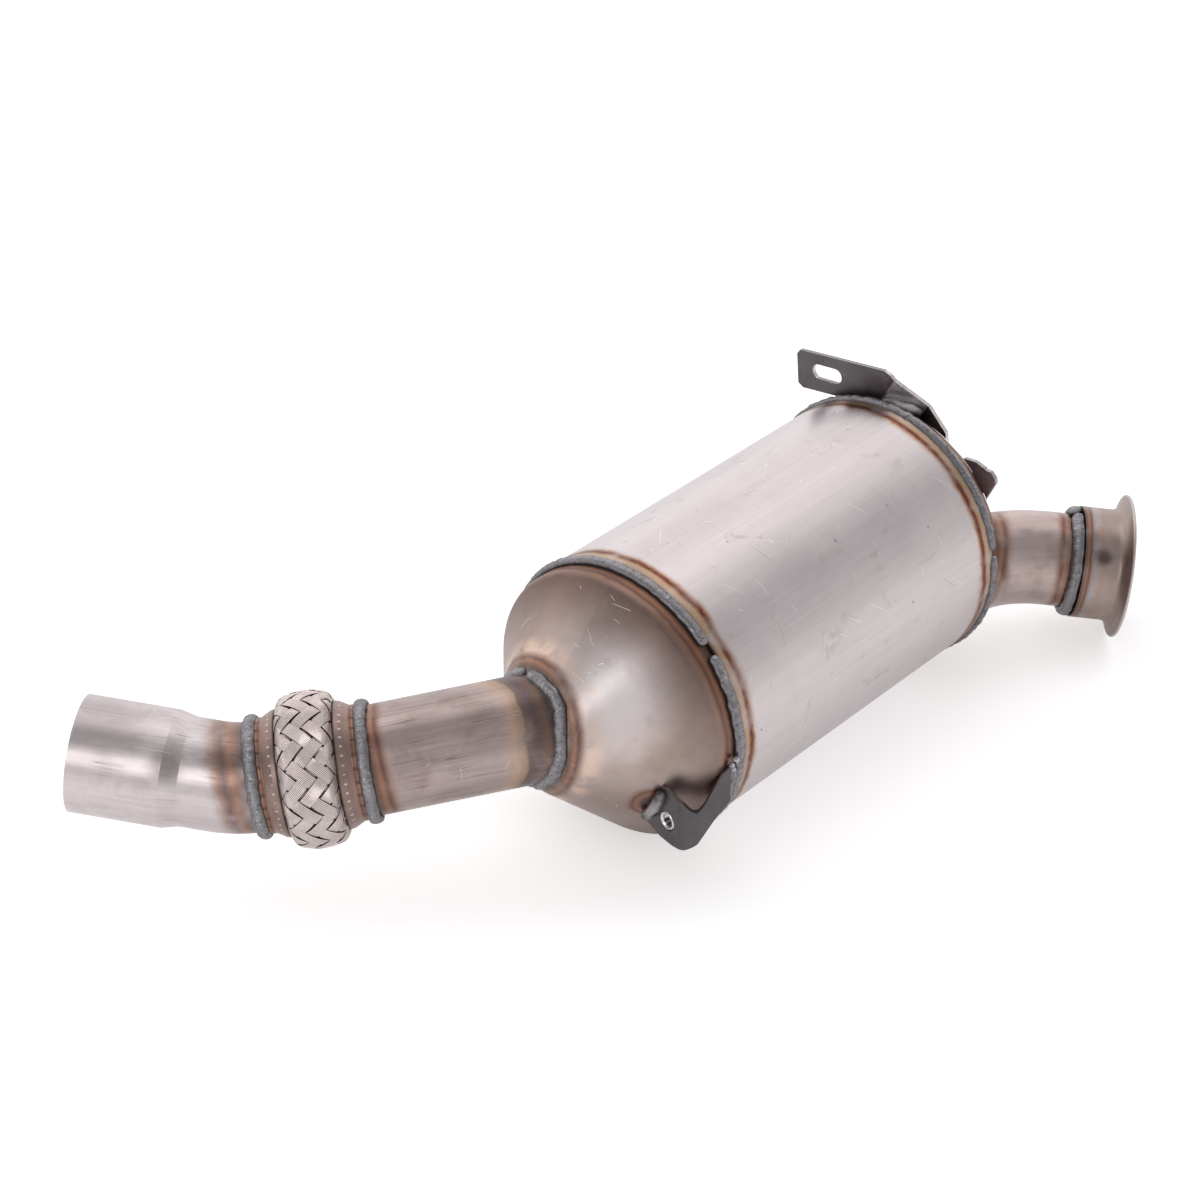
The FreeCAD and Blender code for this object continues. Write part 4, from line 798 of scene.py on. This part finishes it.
def straight_line(first, last, out, step):
    way = last - first
    side = way.cross(out).normalized()
    count = max(4, int(way.length / step))
    centres = [first + way * (n / (count - 1)) for n in range(count)]
    return centres, [out] * count, [side] * count


# Outer face of an end cone, from the can's seam outwards
COLLAR_RADIUS = CAN_RADIUS - 1.8 * MM
COLLAR_LENGTH = 9 * MM
SHOULDER_BEND = 8 * MM
SLOPE = math.radians(43.5)
NOSE_CENTRE = 45 * MM
NOSE_BEND = 24 * MM
NOSE_END = 69 * MM
NOSE_FLAT = (
    COLLAR_RADIUS - SHOULDER_BEND
    + (SHOULDER_BEND - NOSE_BEND - (NOSE_CENTRE - COLLAR_LENGTH) * math.sin(SLOPE)) / math.cos(SLOPE))


def cone_radius(far):
    """Radius of the cone's outer face at a distance from its seam."""
    first = COLLAR_LENGTH + SHOULDER_BEND * math.sin(SLOPE)
    second = NOSE_CENTRE + NOSE_BEND * math.sin(SLOPE)
    if far <= COLLAR_LENGTH:
        return COLLAR_RADIUS
    if far <= first:
        return COLLAR_RADIUS - SHOULDER_BEND + math.sqrt(SHOULDER_BEND ** 2 - (far - COLLAR_LENGTH) ** 2)
    if far <= second:
        start = COLLAR_RADIUS - SHOULDER_BEND + SHOULDER_BEND * math.cos(SLOPE)
        return start - (far - first) * math.tan(SLOPE)
    if far < NOSE_END:
        return NOSE_FLAT + math.sqrt(NOSE_BEND ** 2 - (far - NOSE_CENTRE) ** 2)
    return 0.0


# Search for the line where a pipe leaves a cone: step of the line, angles, halvings and longest way
ROOT_STEP = 0.24 * MM
ROOT_SAMPLES = 240
ROOT_HALVINGS = 26
PIPE_REACH = 110 * MM


def root_line(start, along, radius, cone_start, way, first, sweep):
    """Line where a pipe leaves a cone, found by halving along the pipe's wall.
    Angles are measured from the top towards the pipe's left."""
    left, up = side_axes(along)
    axis_y, axis_z = CAN_CENTRE.y, CAN_CENTRE.z

    def inside(p):
        far = (p.x - cone_start) * way
        return math.hypot(p.y - axis_y, p.z - axis_z) < cone_radius(far)

    found = []
    for number in range(ROOT_SAMPLES + 1):
        a = math.radians(first + sweep * number / ROOT_SAMPLES)
        out = up * math.cos(a) + left * math.sin(a)
        base = start + out * radius
        low, high = 0.0, PIPE_REACH
        for _ in range(ROOT_HALVINGS):
            mid = (low + high) / 2
            if inside(base + along * mid):
                low = mid
            else:
                high = mid
        found.append((base + along * low, out))
    places = np.array([p for p, out in found])
    ways = np.array([out for p, out in found])
    length = run_length(places)
    count = int(length[-1] / ROOT_STEP)
    at = np.linspace(0, length[-1], count)
    centres = np.stack([np.interp(at, length, places[:, k]) for k in range(3)], 1)
    pipe_out = np.stack([np.interp(at, length, ways[:, k]) for k in range(3)], 1)
    run = np.gradient(centres, axis=0)
    run /= np.linalg.norm(run, axis=1)[:, None]
    axis = np.array(along)
    outs = pipe_out + axis * 0.9
    outs -= run * np.sum(outs * run, axis=1)[:, None]
    outs /= np.linalg.norm(outs, axis=1)[:, None]
    sides = np.cross(run, outs)
    return centres, outs, sides


# Welds where the pipes leave the cones: start, direction, radius and the whole line
ROOTS = {
    "outlet": (OUTLET_START - OUTLET_AXIS * (14 * MM), OUTLET_AXIS, PIPE_RADIUS),
    "inlet": (ELBOW_END + LEAD_AXIS * (30 * MM), -LEAD_AXIS, ELBOW_RADIUS),
}
CONES = {"outlet": (OUTLET_CONE, -1), "inlet": (INLET_CONE, 1)}
for end in ROOTS:
    ROOTS[end] += (np.array(root_line(*ROOTS[end], *CONES[end], 0, 360)[0]),)


# Braid
def sleeve_profile(samples=121):
    """Half length along the axis, radius and arc length of the braid's outer face, from end to end."""
    crown, half, top, low, fall = SLEEVE_CROWN, 14.8, SLEEVE_TOP, 33.4, SLEEVE_FALL
    edge = top - fall
    width, drop = half - crown, edge - low
    shoulder = (width * width + drop * drop) / (2 * drop) * 1.08
    chord = math.hypot(width, drop)
    rise = math.sqrt(shoulder * shoulder - chord * chord / 4)
    mid = ((crown + half) / 2, (edge + low) / 2)
    centre = (mid[0] - rise * drop / chord, mid[1] - rise * width / chord)
    arch = (crown * crown + fall * fall) / (2 * fall)
    a0 = math.atan2(edge - centre[1], crown - centre[0])
    a1 = math.atan2(low - centre[1], half - centre[0])
    right = []
    for t in np.linspace(0, 1, samples // 3):
        a = a0 + (a1 - a0) * t
        right.append((centre[0] + shoulder * math.cos(a), centre[1] + shoulder * math.sin(a)))
    crown_line = [
        (x, top - arch + math.sqrt(arch * arch - x * x)) for x in np.linspace(0, crown, samples // 4)]
    half_line = crown_line + right[1:]
    line = [(-x, r) for x, r in reversed(half_line[1:])] + half_line
    line = np.array(line)
    return line[:, 0], line[:, 1], run_length(line)


# Ribbons, in millimetres: depth of their middle, swing over and under, height of a wire and of the crown
# across, and how their ends tuck in
RIBBON_DEPTH = 0.62
RIBBON_WEAVE = 0.52
WIRE_RIDGE = 0.16
RIBBON_CROWN = 0.10
RIBBON_TUCK = 0.7
TUCK_START = 13.2
TUCK_LENGTH = 1.8


def braid_shape(settings):
    """Two sets of flat wire ribbons, each over two and under two of the other set."""
    far, radius, length = sleeve_profile()
    turn = np.concatenate([[0], np.cumsum(np.diff(length) / ((radius[1:] + radius[:-1]) / 2))])
    turn -= turn[-1] / 2
    total = settings.ribbon_count
    gap = 2 * math.pi / total
    wires = settings.ribbon_wires
    steps = 56
    across = wires * 3 + 1
    half_width = settings.ribbon_width / MM / 2
    spread = np.linspace(-1, 1, across)
    wire_phase = (spread + 1) / 2 * wires
    ridge = np.abs(np.sin(np.pi * wire_phase)) ** 0.6 * WIRE_RIDGE
    flat = RIBBON_CROWN * (1 - spread ** 2)
    parts = []
    left, up = side_axes(FLEX_AXIS)
    shift = half_width * spread / SLEEVE_TOP / math.sqrt(2)
    cells = np.linspace(turn[0] - 0.02, turn[-1] + 0.02, steps)
    for way in (1, -1):
        for number in range(total):
            place_on = cells[:, None] - shift[None, :]
            angle = number * gap + way * (cells[:, None] + shift[None, :])
            x = np.interp(place_on, turn, far)
            r = np.interp(place_on, turn, radius)
            crossed = 2 * number + way * 2 * cells / gap - 0.5
            wave = way * np.cos(2 * np.pi * crossed / 4)[:, None]
            lift = np.tanh(1.8 * wave) / math.tanh(1.8)
            jitter = 0.06 * math.sin(12.9898 * (number + 1) * (2 + way))
            height = r - RIBBON_DEPTH + RIBBON_WEAVE * lift + ridge[None, :] + flat[None, :] + jitter
            height = height - RIBBON_TUCK * np.clip((np.abs(x) - TUCK_START) / TUCK_LENGTH, 0, 1)
            place = (
                np.array(FLEX_AXIS)[None, None, :] * x[..., None]
                + np.array(left)[None, None, :] * (height * np.cos(angle))[..., None]
                + np.array(up)[None, None, :] * (height * np.sin(angle))[..., None])
            vertices = place * MM + np.array(FLEX_CENTRE)
            faces = []
            for i in range(steps - 1):
                for k in range(across - 1):
                    a = i * across + k
                    quad = (a, a + across, a + across + 1, a + 1)
                    faces.append(quad if way == 1 else quad[::-1])
            parts.append((vertices.reshape(-1, 3), faces, np.tile(wire_phase, steps)))
    return joined(parts)


def sleeve_shape():
    """Dark wall under the ribbons, painted shade that shows through the gaps of the braid."""
    far, radius, _ = sleeve_profile(61)
    left, up = side_axes(FLEX_AXIS)
    around = 120
    vertices, faces = [], []
    count = len(far)
    for depth in (1.15, 1.7):
        for x, r in zip(far, radius):
            for k in range(around):
                a = 2 * math.pi * k / around
                way = left * math.cos(a) + up * math.sin(a)
                vertices.append(FLEX_CENTRE + (FLEX_AXIS * x + way * (r - depth)) * MM)
    for i in range(count - 1):
        for k in range(around):
            m = (k + 1) % around
            a, b = i * around + k, i * around + m
            c, d = b + around, a + around
            faces.append((d, c, b, a))
            base = count * around
            faces.append((base + a, base + b, base + c, base + d))
    for row in (0, count - 1):
        for k in range(around):
            m = (k + 1) % around
            a, b = row * around + k, row * around + m
            quad = (a, b, b + count * around, a + count * around)
            faces.append(quad if row else quad[::-1])
    return unmarked(vertices, faces)


# Clamp flange: distance from its face and radius, in millimetres
FLANGE_FACE = [(0.0, 30.6), (0.0, 40.2), (0.3, 40.9), (0.9, 41.3), (1.4, 41.3), (1.7, 41.0)]
FLANGE_BORE = [(27.0, 32.1), (27.0, 27.3), (22.0, 27.3), (18.0, 30.6), (0.0, 30.6)]


def flange_back():
    """Hollow back of the flange, from its rim down to its neck."""
    samples = 18
    first, last = (1.7, 41.0), (9.6, 32.1)
    line = []
    for number in range(1, samples + 1):
        t = number / samples
        ease = (1 - t) ** 2.6
        line.append((first[0] + (last[0] - first[0]) * t ** 1.15, last[1] + (first[1] - last[1]) * ease))
    return line


def lathe_shape(profile, start, along):
    """Closed ring with the profile's distances and radii, in millimetres."""
    around = 220
    left, up = side_axes(along)
    vertices, faces = [], []
    for number in range(around):
        a = 2 * math.pi * number / around
        way = left * math.cos(a) + up * math.sin(a)
        for far, radius in profile:
            vertices.append(start + (along * far + way * radius) * MM)
    count = len(profile)
    for number in range(around):
        base, following = number * count, (number + 1) % around * count
        for k in range(count):
            m = (k + 1) % count
            faces.append((base + k, base + m, following + m, following + k))
    return unmarked(vertices, faces)


# Materials of the pieces that come from the frame
def dress(material, *names):
    for name in names:
        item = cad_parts[name]
        for slot in item.material_slots:
            slot.material = material


def collar_finish():
    """Copper tinted collars with tick marks by the weld and bright specks by the braid."""
    finish = Finish("collar_steel")
    far, angle = finish.round(FLEX_CENTRE, FLEX_AXIS)
    off = far.absolute()
    place = finish.millimetres()
    cloud = finish.noise(place, 0.12, 3.0, 0.6, 0.4)
    grain = finish.noise(place, 1.3, 3.0, 0.6)
    lines = streaks(finish, far, angle, 33 * MM, 0.3, 0.9)
    level = 0.9 + cloud.swing(0.7) + grain.swing(0.25) + lines.swing(0.3)
    tone = finish.shaded((0.33, 0.235, 0.21), level)
    tone = heat_tint(finish, tone, 26.5 - off, 6.0, 0.85, 0.3, 5.0, EMBER)
    ring = angle * 26.0
    jag = finish.noise(finish.combine(ring * 0.5, far.math("SIGN"), 0.0), 1.0, 1.0)
    tick = (ring.sine() + jag.swing(1.2)).between(0.55, 0.8)
    tick = tick * off.between(22.5, 23.3) * off.fades(25.0, 25.8)
    tone = finish.mix(tick * 0.7, tone, (0.10, 0.06, 0.05))
    speck = (ring * 1.6).sine().between(0.72, 0.92) * jag.between(0.42, 0.5)
    speck = speck * off.between(17.4, 17.9) * off.fades(18.6, 19.2)
    tone = finish.mix(speck * 0.85, tone, (0.80, 0.72, 0.68))
    edge = off.fades(15.2, 16.2)
    tone = finish.mix(edge * 0.8, tone, (0.07, 0.05, 0.045))
    rough = 0.36 + cloud.swing(0.2) + grain.swing(0.12)
    return finish.metal(tone, rough, grain * 0.5 + lines * 0.5 - tick * 1.2 + speck * 1.0, 0.10)


def flange_finish():
    """Brown neck with orange arcs, a blue band by the weld and worn bright edges."""
    finish = Finish("flange_steel")
    far, angle = finish.round(FLANGE_CENTRE, -FLANGE_AXIS)
    off = finish.axis(FLANGE_CENTRE, FLANGE_AXIS)
    place = finish.millimetres()
    cloud = finish.noise(place, 0.07, 3.0, 0.6, 0.5)
    grain = finish.noise(place, 1.4, 4.0, 0.65)
    turning = finish.noise(finish.combine(far * 2.0, off * 2.0, angle * 0.4), 1.0, 2.0)
    level = 0.92 + cloud.swing(0.55) + grain.swing(0.2) + turning.swing(0.25)
    tone = finish.shaded((0.42, 0.335, 0.305), level)
    arcs = (far * 0.9 + cloud * 9.0).sine().between(0.5, 0.95) * far.between(9.0, 14.0)
    tone = finish.mix(arcs * 0.35, tone, (0.52, 0.25, 0.11))
    band = far.between(16.0, 20.0) * finish.noise(place, 0.09, 3.0, 0.6, 0.5).between(0.38, 0.58)
    tone = finish.mix(band * 0.8, tone, (0.40, 0.40, 0.44))
    tone = heat_tint(finish, tone, 27.0 - far, 6.0, 0.9, 0.25, 3.0, EMBER)
    scorch = finish.point(FLANGE_SCORCH) * (0.7 + cloud * 0.7)
    tone = finish.mix(scorch.between(2.0, 8.0, 0.8, 0.0), tone, (0.075, 0.055, 0.055))
    worn = (off - 41.3).absolute().fades(0.5, 1.2) * far.fades(6.0, 8.0)
    worn = worn.most(off.between(39.0, 41.0) * far.fades(0.2, 1.0))
    tone = finish.mix(worn * 0.8, tone, (0.62, 0.58, 0.56))
    rough = 0.38 + cloud.swing(0.18) + grain.swing(0.12)
    return finish.metal(tone, rough, grain * 0.5 + turning * 0.5, 0.06)


def elbow_finish():
    finish = Finish("elbow_steel")
    middle = ELBOW_KNEE.lerp(ELBOW_END, 0.5)
    along = (ELBOW_END - ELBOW_KNEE).normalized()
    far, angle = finish.round(middle, along)
    tone, rough, height = bare_sheet(finish, (0.62, 0.515, 0.50), far, angle, ELBOW_RADIUS, 0.16)
    place = finish.millimetres()
    dents = finish.noise(place, 0.075, 1.0, 0.3)
    tone = finish.mix(dents.between(0.45, 0.7) * 0.14, tone, (0.64, 0.42, 0.29))
    tone = finish.mix(finish.noise(place, 0.06, 3.0).between(0.5, 0.7) * 0.3, tone, (0.24, 0.16, 0.14))
    rough = rough - 0.07
    tone = heat_tint(finish, tone, root_gap(finish, "inlet") - 2.5, 14.0, 0.9, 0.28, 17.0, EMBER)
    weld = finish.plane(FLANGE_AXIS * (-33.0 * MM), -FLANGE_AXIS)
    tone = heat_tint(finish, tone, weld, 11.0, 0.9, 0.28, 8.0, EMBER)
    return finish.metal(tone, rough, height + dents * 16.0, 0.06)


def zinc_finish():
    finish = Finish("zinc_plate")
    place = finish.millimetres()
    cloud = finish.noise(place, 0.3, 3.0)
    grain = finish.noise(place, 2.5, 3.0)
    level = 0.95 + cloud.swing(0.25) + grain.swing(0.15)
    tone = finish.shaded((0.74, 0.75, 0.78), level)
    return finish.metal(tone, 0.24 + cloud.swing(0.15), grain * 0.5, 0.03)


def ceramic_finish():
    """Square channels, each second one plugged."""
    finish = Finish("filter_ceramic")
    place = finish.scaled(finish.millimetres(), 0.0, 0.5, 0.5)
    cell = finish.add("ShaderNodeTexChecker", {}, {
        "Vector": place, "Color1": (0.02, 0.02, 0.02), "Color2": (0.36, 0.32, 0.29), "Scale": 1.0}, "Color")
    grain = finish.noise(finish.millimetres(), 1.2, 4.0)
    tone = finish.mix(0.35, cell, finish.combine(grain, grain * 0.9, grain * 0.85))
    return finish.metal(tone, 0.85 + grain.swing(0.2), grain, 0.1, 0.0)


def floor_finish(settings):
    """Pale floor that stays white to the camera and keeps the object's shadow."""
    finish = Finish("floor")
    path = finish.tree.nodes.new("ShaderNodeLightPath")
    seen = Signal(finish.tree, path.outputs["Is Camera Ray"])
    grain = finish.noise(finish.millimetres(), 0.02, 2.0)
    tone = finish.mix(grain * 0.03, tuple(settings.floor), (0.86, 0.86, 0.86))
    shader = finish.add("ShaderNodeBsdfPrincipled", {}, {
        "Base Color": tone, "Roughness": 0.9, "Emission Strength": 1.0,
        "Emission Color": finish.mix(seen, (0.22, 0.22, 0.22), (0.48, 0.48, 0.48))}, "BSDF")
    finish.add("ShaderNodeOutputMaterial", {}, {"Surface": shader})
    return finish.material


def sky(scene):
    """Studio surroundings: a white wall on one side, dark overhead and paler at the horizon."""
    world = bpy.data.worlds.new("studio")
    scene.world = world
    world.use_nodes = True
    tree = world.node_tree
    tree.nodes.clear()
    way = node(tree, "ShaderNodeTexCoord", {}, {}, "Generated")
    height = node(tree, "ShaderNodeSeparateXYZ", {}, {"Vector": way}, "Z")
    facing = node(tree, "ShaderNodeVectorMath", {"operation": "DOT_PRODUCT"}, [way, WHITE_WALL], "Value")
    glow = 0.48 + facing.between(0.16, 0.52, 0.0, 0.52) + height.between(0.1, 0.62, 0.22, 0.0)
    colour = node(tree, "ShaderNodeCombineXYZ", {}, {"X": glow, "Y": glow * 0.98, "Z": glow * 0.99})
    light = node(tree, "ShaderNodeBackground", {}, {"Color": colour, "Strength": 1.0}, "Background")
    node(tree, "ShaderNodeOutputWorld", {}, {"Surface": light})


# Operators
def settings_of(context):
    return context.scene.filter_settings


class FILTER_OT_steel(bpy.types.Operator):
    """Gives can, cones, pipes and flange their steel with its heat colours"""
    bl_idname = "filter.steel"
    bl_label = "Steel finishes"

    def execute(self, context):
        settings = settings_of(context)
        dress(can_finish(settings), "can_shell")
        spots = ((LOWER_LEFT_SPOT, 11.0), (LOWER_RIGHT_SPOT, 11.0))
        dress(cone_finish(
            "cone_steel_outlet", settings, OUTLET_SEAM, -1, "outlet", 0.0, spots, HIGHLIGHT_SPOT), "outlet_cone")
        dress(cone_finish("cone_steel_inlet", settings, INLET_SEAM, 1, "inlet", 60.0), "inlet_cone")
        heats = [
            (lambda f: root_gap(f, "outlet") - 2.5, 26.0, 0.9, SCALE_BAND),
            (lambda f: f.plane(FLEX_START, -OUTLET_AXIS) - 2.5, 13.0, 0.9, EMBER)]
        dress(pipe_finish(
            "pipe_steel", (0.58, 0.475, 0.455), OUTLET_START, OUTLET_AXIS, PIPE_RADIUS, heats, 0.24, 4.0),
            "outlet_pipe")
        heats = [(lambda f: f.plane(TAIL_START, FLEX_AXIS) - 2.5, 22.0, 0.85, EMBER)]
        shade_spots = ((TAIL_SHADE_SPOT, 3.0, 13.0, 0.6), (TAIL_RIM_SHADE, 6.0, 38.0, 0.32))
        dress(pipe_finish(
            "tail_steel", (0.74, 0.675, 0.685), TAIL_KNEE, TAIL_AXIS, PIPE_RADIUS, heats, 0.12, 9.0, shade_spots),
            "tail_pipe")
        dress(elbow_finish(), "inlet_elbow")
        flange = lathe_shape(FLANGE_FACE + flange_back() + FLANGE_BORE[:-1], FLANGE_CENTRE, -FLANGE_AXIS)
        mesh_piece("clamp_flange", flange, ["vband_flange"], flange_finish(), 32)
        dress(collar_finish(), "flex_rear_collar", "flex_front_collar")
        return {"FINISHED"}


class FILTER_OT_brackets(bpy.types.Operator):
    """Gives the three brackets their dark scale and the insert its zinc"""
    bl_idname = "filter.brackets"
    bl_label = "Bracket finishes"

    def execute(self, context):
        settings = settings_of(context)
        front = (0.0, -1.0, 0.0)
        level = (1.0, 0.0, 0.0)
        for cad_node, name, seed, rust, faces, turned, shine, lift in (
                # The upper bracket's front panel gets painted light, and the ear bracket's lift of 4.5 is
                # painted light
                ("lower_bracket", "bracket_scale_lower", 3.0, 0.25, (0.72, 0.69, 0.0), None, 0.06, 1.0),
                ("upper_bracket", "bracket_scale_upper", 47.0, 0.15, level, front, 0.05, 1.0),
                ("rear_ear_bracket", "bracket_scale_ear", 81.0, 0.4, level, None, 0.0, 4.5)):
            dress(dark_finish(name, settings, seed, rust, faces, turned, shine, lift), cad_node)
        dress(zinc_finish(), "lower_bracket_nut")
        return {"FINISHED"}


class FILTER_OT_inside(bpy.types.Operator):
    """Gives the hidden filter, mat, bellows and liner their materials"""
    bl_idname = "filter.inside"
    bl_label = "Inner pieces"

    def execute(self, context):
        dress(ceramic_finish(), "filter_monolith")
        dress(plain_finish("fibre_mat", (0.70, 0.68, 0.64), 0.9, 0.0, 0.8, 0.4), "support_mat")
        bellows = plain_finish("bellows_steel", (0.52, 0.47, 0.44), 0.4, 1.0, 1.5, 0.05)
        dress(bellows, "flex_bellows", "flex_liner")
        return {"FINISHED"}


class FILTER_OT_seams(bpy.types.Operator):
    """Lays the two long welds round the can"""
    bl_idname = "filter.seams"
    bl_label = "Seam welds"

    def execute(self, context):
        settings = settings_of(context)
        material = weld_finish(settings)
        half = settings.seam_width / 2
        high = SEAM_SINK + settings.seam_height
        lean = math.radians(9)
        for name, seam, way, runs in (
                ("outlet_seam_weld", OUTLET_SEAM, -1, ((46.5, 311.0, 1.0), (-5.0, 47.0, 2.2))),
                ("inlet_seam_weld", INLET_SEAM, 1, ((171.0, 357.0, 1.2),))):
            along = CAN_AXIS * way
            centre = on_axis(seam) + along * (1.5 * MM)
            parts = []
            for number, (first, sweep, rough) in enumerate(runs):
                line = ring_line(centre, along, CAN_RADIUS - SEAM_SINK, first, sweep, lean=lean)
                parts.append(bead_shape(settings, line, half, high, 1.2 * MM, 13 * number + way, rough))
            bead_piece("seam_bead_" + name.split("_")[0], parts, name, material)
        return {"FINISHED"}


class FILTER_OT_pipe_welds(bpy.types.Operator):
    """Lays the welds of the pipes, the flex and the flange"""
    bl_idname = "filter.pipe_welds"
    bl_label = "Pipe welds"

    def execute(self, context):
        settings = settings_of(context)
        material = bpy.data.materials["rippled_weld"]
        for end, runs, rough in (("outlet", OUTLET_RUNS, 2.0), ("inlet", ((0.0, 358.0),), 1.5)):
            parts = []
            for number, (first, sweep) in enumerate(runs):
                line = root_line(*ROOTS[end][:3], *CONES[end], first, sweep)
                parts.append(bead_shape(
                    settings, line, 3.7 * MM, 2.6 * MM, 2.2 * MM, 7 * number + len(runs), rough))
            bead_piece("root_bead_" + end, parts, end + "_pipe_weld", material)
        for name, way in (("flex_rear_weld", -1), ("flex_front_weld", 1)):
            centre = FLEX_CENTRE + FLEX_AXIS * (way * FLEX_WELD)
            line = ring_line(centre, FLEX_AXIS, 29.6 * MM, 200.0, 357.0)
            shape = bead_shape(settings, line, 3.5 * MM, 2.4 * MM, 1.2 * MM, 3 + way, 1.3)
            bead_piece(name.replace("weld", "bead"), [shape], name, material)
        centre = FLANGE_AXIS * (-30.5 * MM)
        line = ring_line(centre, -FLANGE_AXIS, 29.0 * MM, 100.0, 357.0, lean=math.radians(28))
        shape = bead_shape(settings, line, 3.6 * MM, 2.5 * MM, 1.6 * MM, 5, 1.3)
        bead_piece("flange_bead", [shape], "flange_weld", material)
        return {"FINISHED"}


class FILTER_OT_bracket_welds(bpy.types.Operator):
    """Lays the short welds of the brackets"""
    bl_idname = "filter.bracket_welds"
    bl_label = "Bracket welds"

    def execute(self, context):
        settings = settings_of(context)
        material = bpy.data.materials["rippled_weld"]
        middle = on_axis(0)
        rings = (
            ("lower_bracket_left_weld", -361.4, 57.0, 196.0, 25.0, 3.3),
            ("lower_bracket_right_weld", -333.0, 77.3, 183.5, 21.0, 2.5),
            ("rear_ear_weld", -88.3, 64.5, 135.0, 12.0, 2.6))
        for number, (name, x, radius, first, sweep, size) in enumerate(rings):
            centre = middle + CAN_AXIS * (x * MM)
            line = ring_line(centre, CAN_AXIS, radius * MM, first, sweep, FINE_STEP)
            parts = [bead_shape(settings, line, size * MM, size * MM, size * MM, 60 + number, 1.8)]
            if name == "lower_bracket_right_weld":
                for turn, shift, wide in ((180.6, -1.6, 2.0), (178.6, 1.0, 1.5)):
                    drop = ring_line(
                        middle + CAN_AXIS * ((x + shift) * MM), CAN_AXIS, (radius + 0.6) * MM, turn, 2.4,
                        step=0.12 * MM)
                    parts.append(bead_shape(settings, drop, wide * MM, 1.7 * MM, 1.4 * MM, 70 + number, 0.6))
            bead_piece(name.replace("weld", "bead"), parts, name, material)
        first, last = Vector((-102.4, 101.6, 115.4)) * MM, Vector((-96.3, 79.1, 113.0)) * MM
        out = Vector((0.45, 0, 0.9)).normalized()
        line = straight_line(first, last, out, FINE_STEP)
        shape = bead_shape(settings, line, 2.6 * MM, 2.6 * MM, 2.4 * MM, 90, 1.8)
        bead_piece("upper_bracket_bead", [shape], "upper_bracket_weld", material)
        return {"FINISHED"}


class FILTER_OT_braid(bpy.types.Operator):
    """Weaves the wire braid over the flex"""
    bl_idname = "filter.braid"
    bl_label = "Wire braid"

    def execute(self, context):
        settings = settings_of(context)
        mesh_piece("flex_wire_braid", braid_shape(settings), ["flex_braid"], braid_finish())
        # Painted shade: a dark wall under the braid
        dark = plain_finish("braid_shadow", (0.10, 0.075, 0.065), 0.6, 1.0, 1.5, 0.05)
        mesh_piece("flex_braid_shade_wall", sleeve_shape(), [], dark)
        return {"FINISHED"}


class FILTER_OT_stage(bpy.types.Operator):
    """Sets up the floor, the soft lamps, the sky and the camera"""
    bl_idname = "filter.stage"
    bl_label = "Floor, lamps and camera"

    def execute(self, context):
        settings = settings_of(context)
        scene = context.scene
        half = 30.0
        mesh = bpy.data.meshes.new("floor")
        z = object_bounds()[0].z - 0.2 * MM
        corners = [(-half, -half, z), (half, -half, z), (half, half, z), (-half, half, z)]
        mesh.from_pydata(corners, [], [(0, 1, 2, 3)])
        floor = bpy.data.objects.new("floor", mesh)
        scene.collection.objects.link(floor)
        floor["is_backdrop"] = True
        mesh.materials.append(floor_finish(settings))
        for name, place, target, size, power in LAMPS:
            lamp = bpy.data.lights.new(name, "AREA")
            lamp.shape = "RECTANGLE"
            lamp.size, lamp.size_y = size
            lamp.energy = power
            item = bpy.data.objects.new(name, lamp)
            scene.collection.objects.link(item)
            item.location = place
            item.visible_camera = False
            item.rotation_mode = "QUATERNION"
            item.rotation_quaternion = (target - place).to_track_quat("-Z", "Y")
        sky(scene)
        lens = bpy.data.cameras.new("camera")
        lens.lens = 90
        lens.sensor_width = 36
        lens.clip_start = 0.05
        lens.clip_end = 200
        camera = bpy.data.objects.new("camera", lens)
        scene.collection.objects.link(camera)
        turn, rise = math.radians(EYE_AZIMUTH), math.radians(EYE_RISE)
        back = Vector((math.sin(turn) * math.cos(rise), -math.cos(turn) * math.cos(rise), math.sin(rise)))
        camera.location = EYE
        camera.rotation_mode = "QUATERNION"
        camera.rotation_quaternion = (-back).to_track_quat("-Z", "Y")
        scene.camera = camera
        scene.view_settings.view_transform = "Standard"
        return {"FINISHED"}


class FILTER_PT_panel(bpy.types.Panel):
    """Lists the steps that finish the filter"""
    bl_idname = "FILTER_PT_panel"
    bl_label = "Particulate filter"
    bl_space_type = "VIEW_3D"
    bl_region_type = "UI"
    bl_category = "Filter"

    def draw(self, context):
        settings = settings_of(context)
        for name in settings.bl_rna.properties.keys():
            if name not in ("rna_type", "name"):
                self.layout.prop(settings, name)
        for step in STEPS:
            self.layout.operator(step.bl_idname)


STEPS = (
    FILTER_OT_steel, FILTER_OT_brackets, FILTER_OT_inside, FILTER_OT_seams, FILTER_OT_pipe_welds,
    FILTER_OT_bracket_welds, FILTER_OT_braid, FILTER_OT_stage,
)
CLASSES = (FilterSettings,) + STEPS + (FILTER_PT_panel,)


def register():
    for item in CLASSES:
        bpy.utils.register_class(item)
    bpy.types.Scene.filter_settings = PointerProperty(type=FilterSettings)


def unregister():
    del bpy.types.Scene.filter_settings
    for item in reversed(CLASSES):
        bpy.utils.unregister_class(item)


def main():
    register()
    for step in STEPS:
        group, name = step.bl_idname.split(".")
        getattr(getattr(bpy.ops, group), name)()


if __name__ == "__main__":
    main()
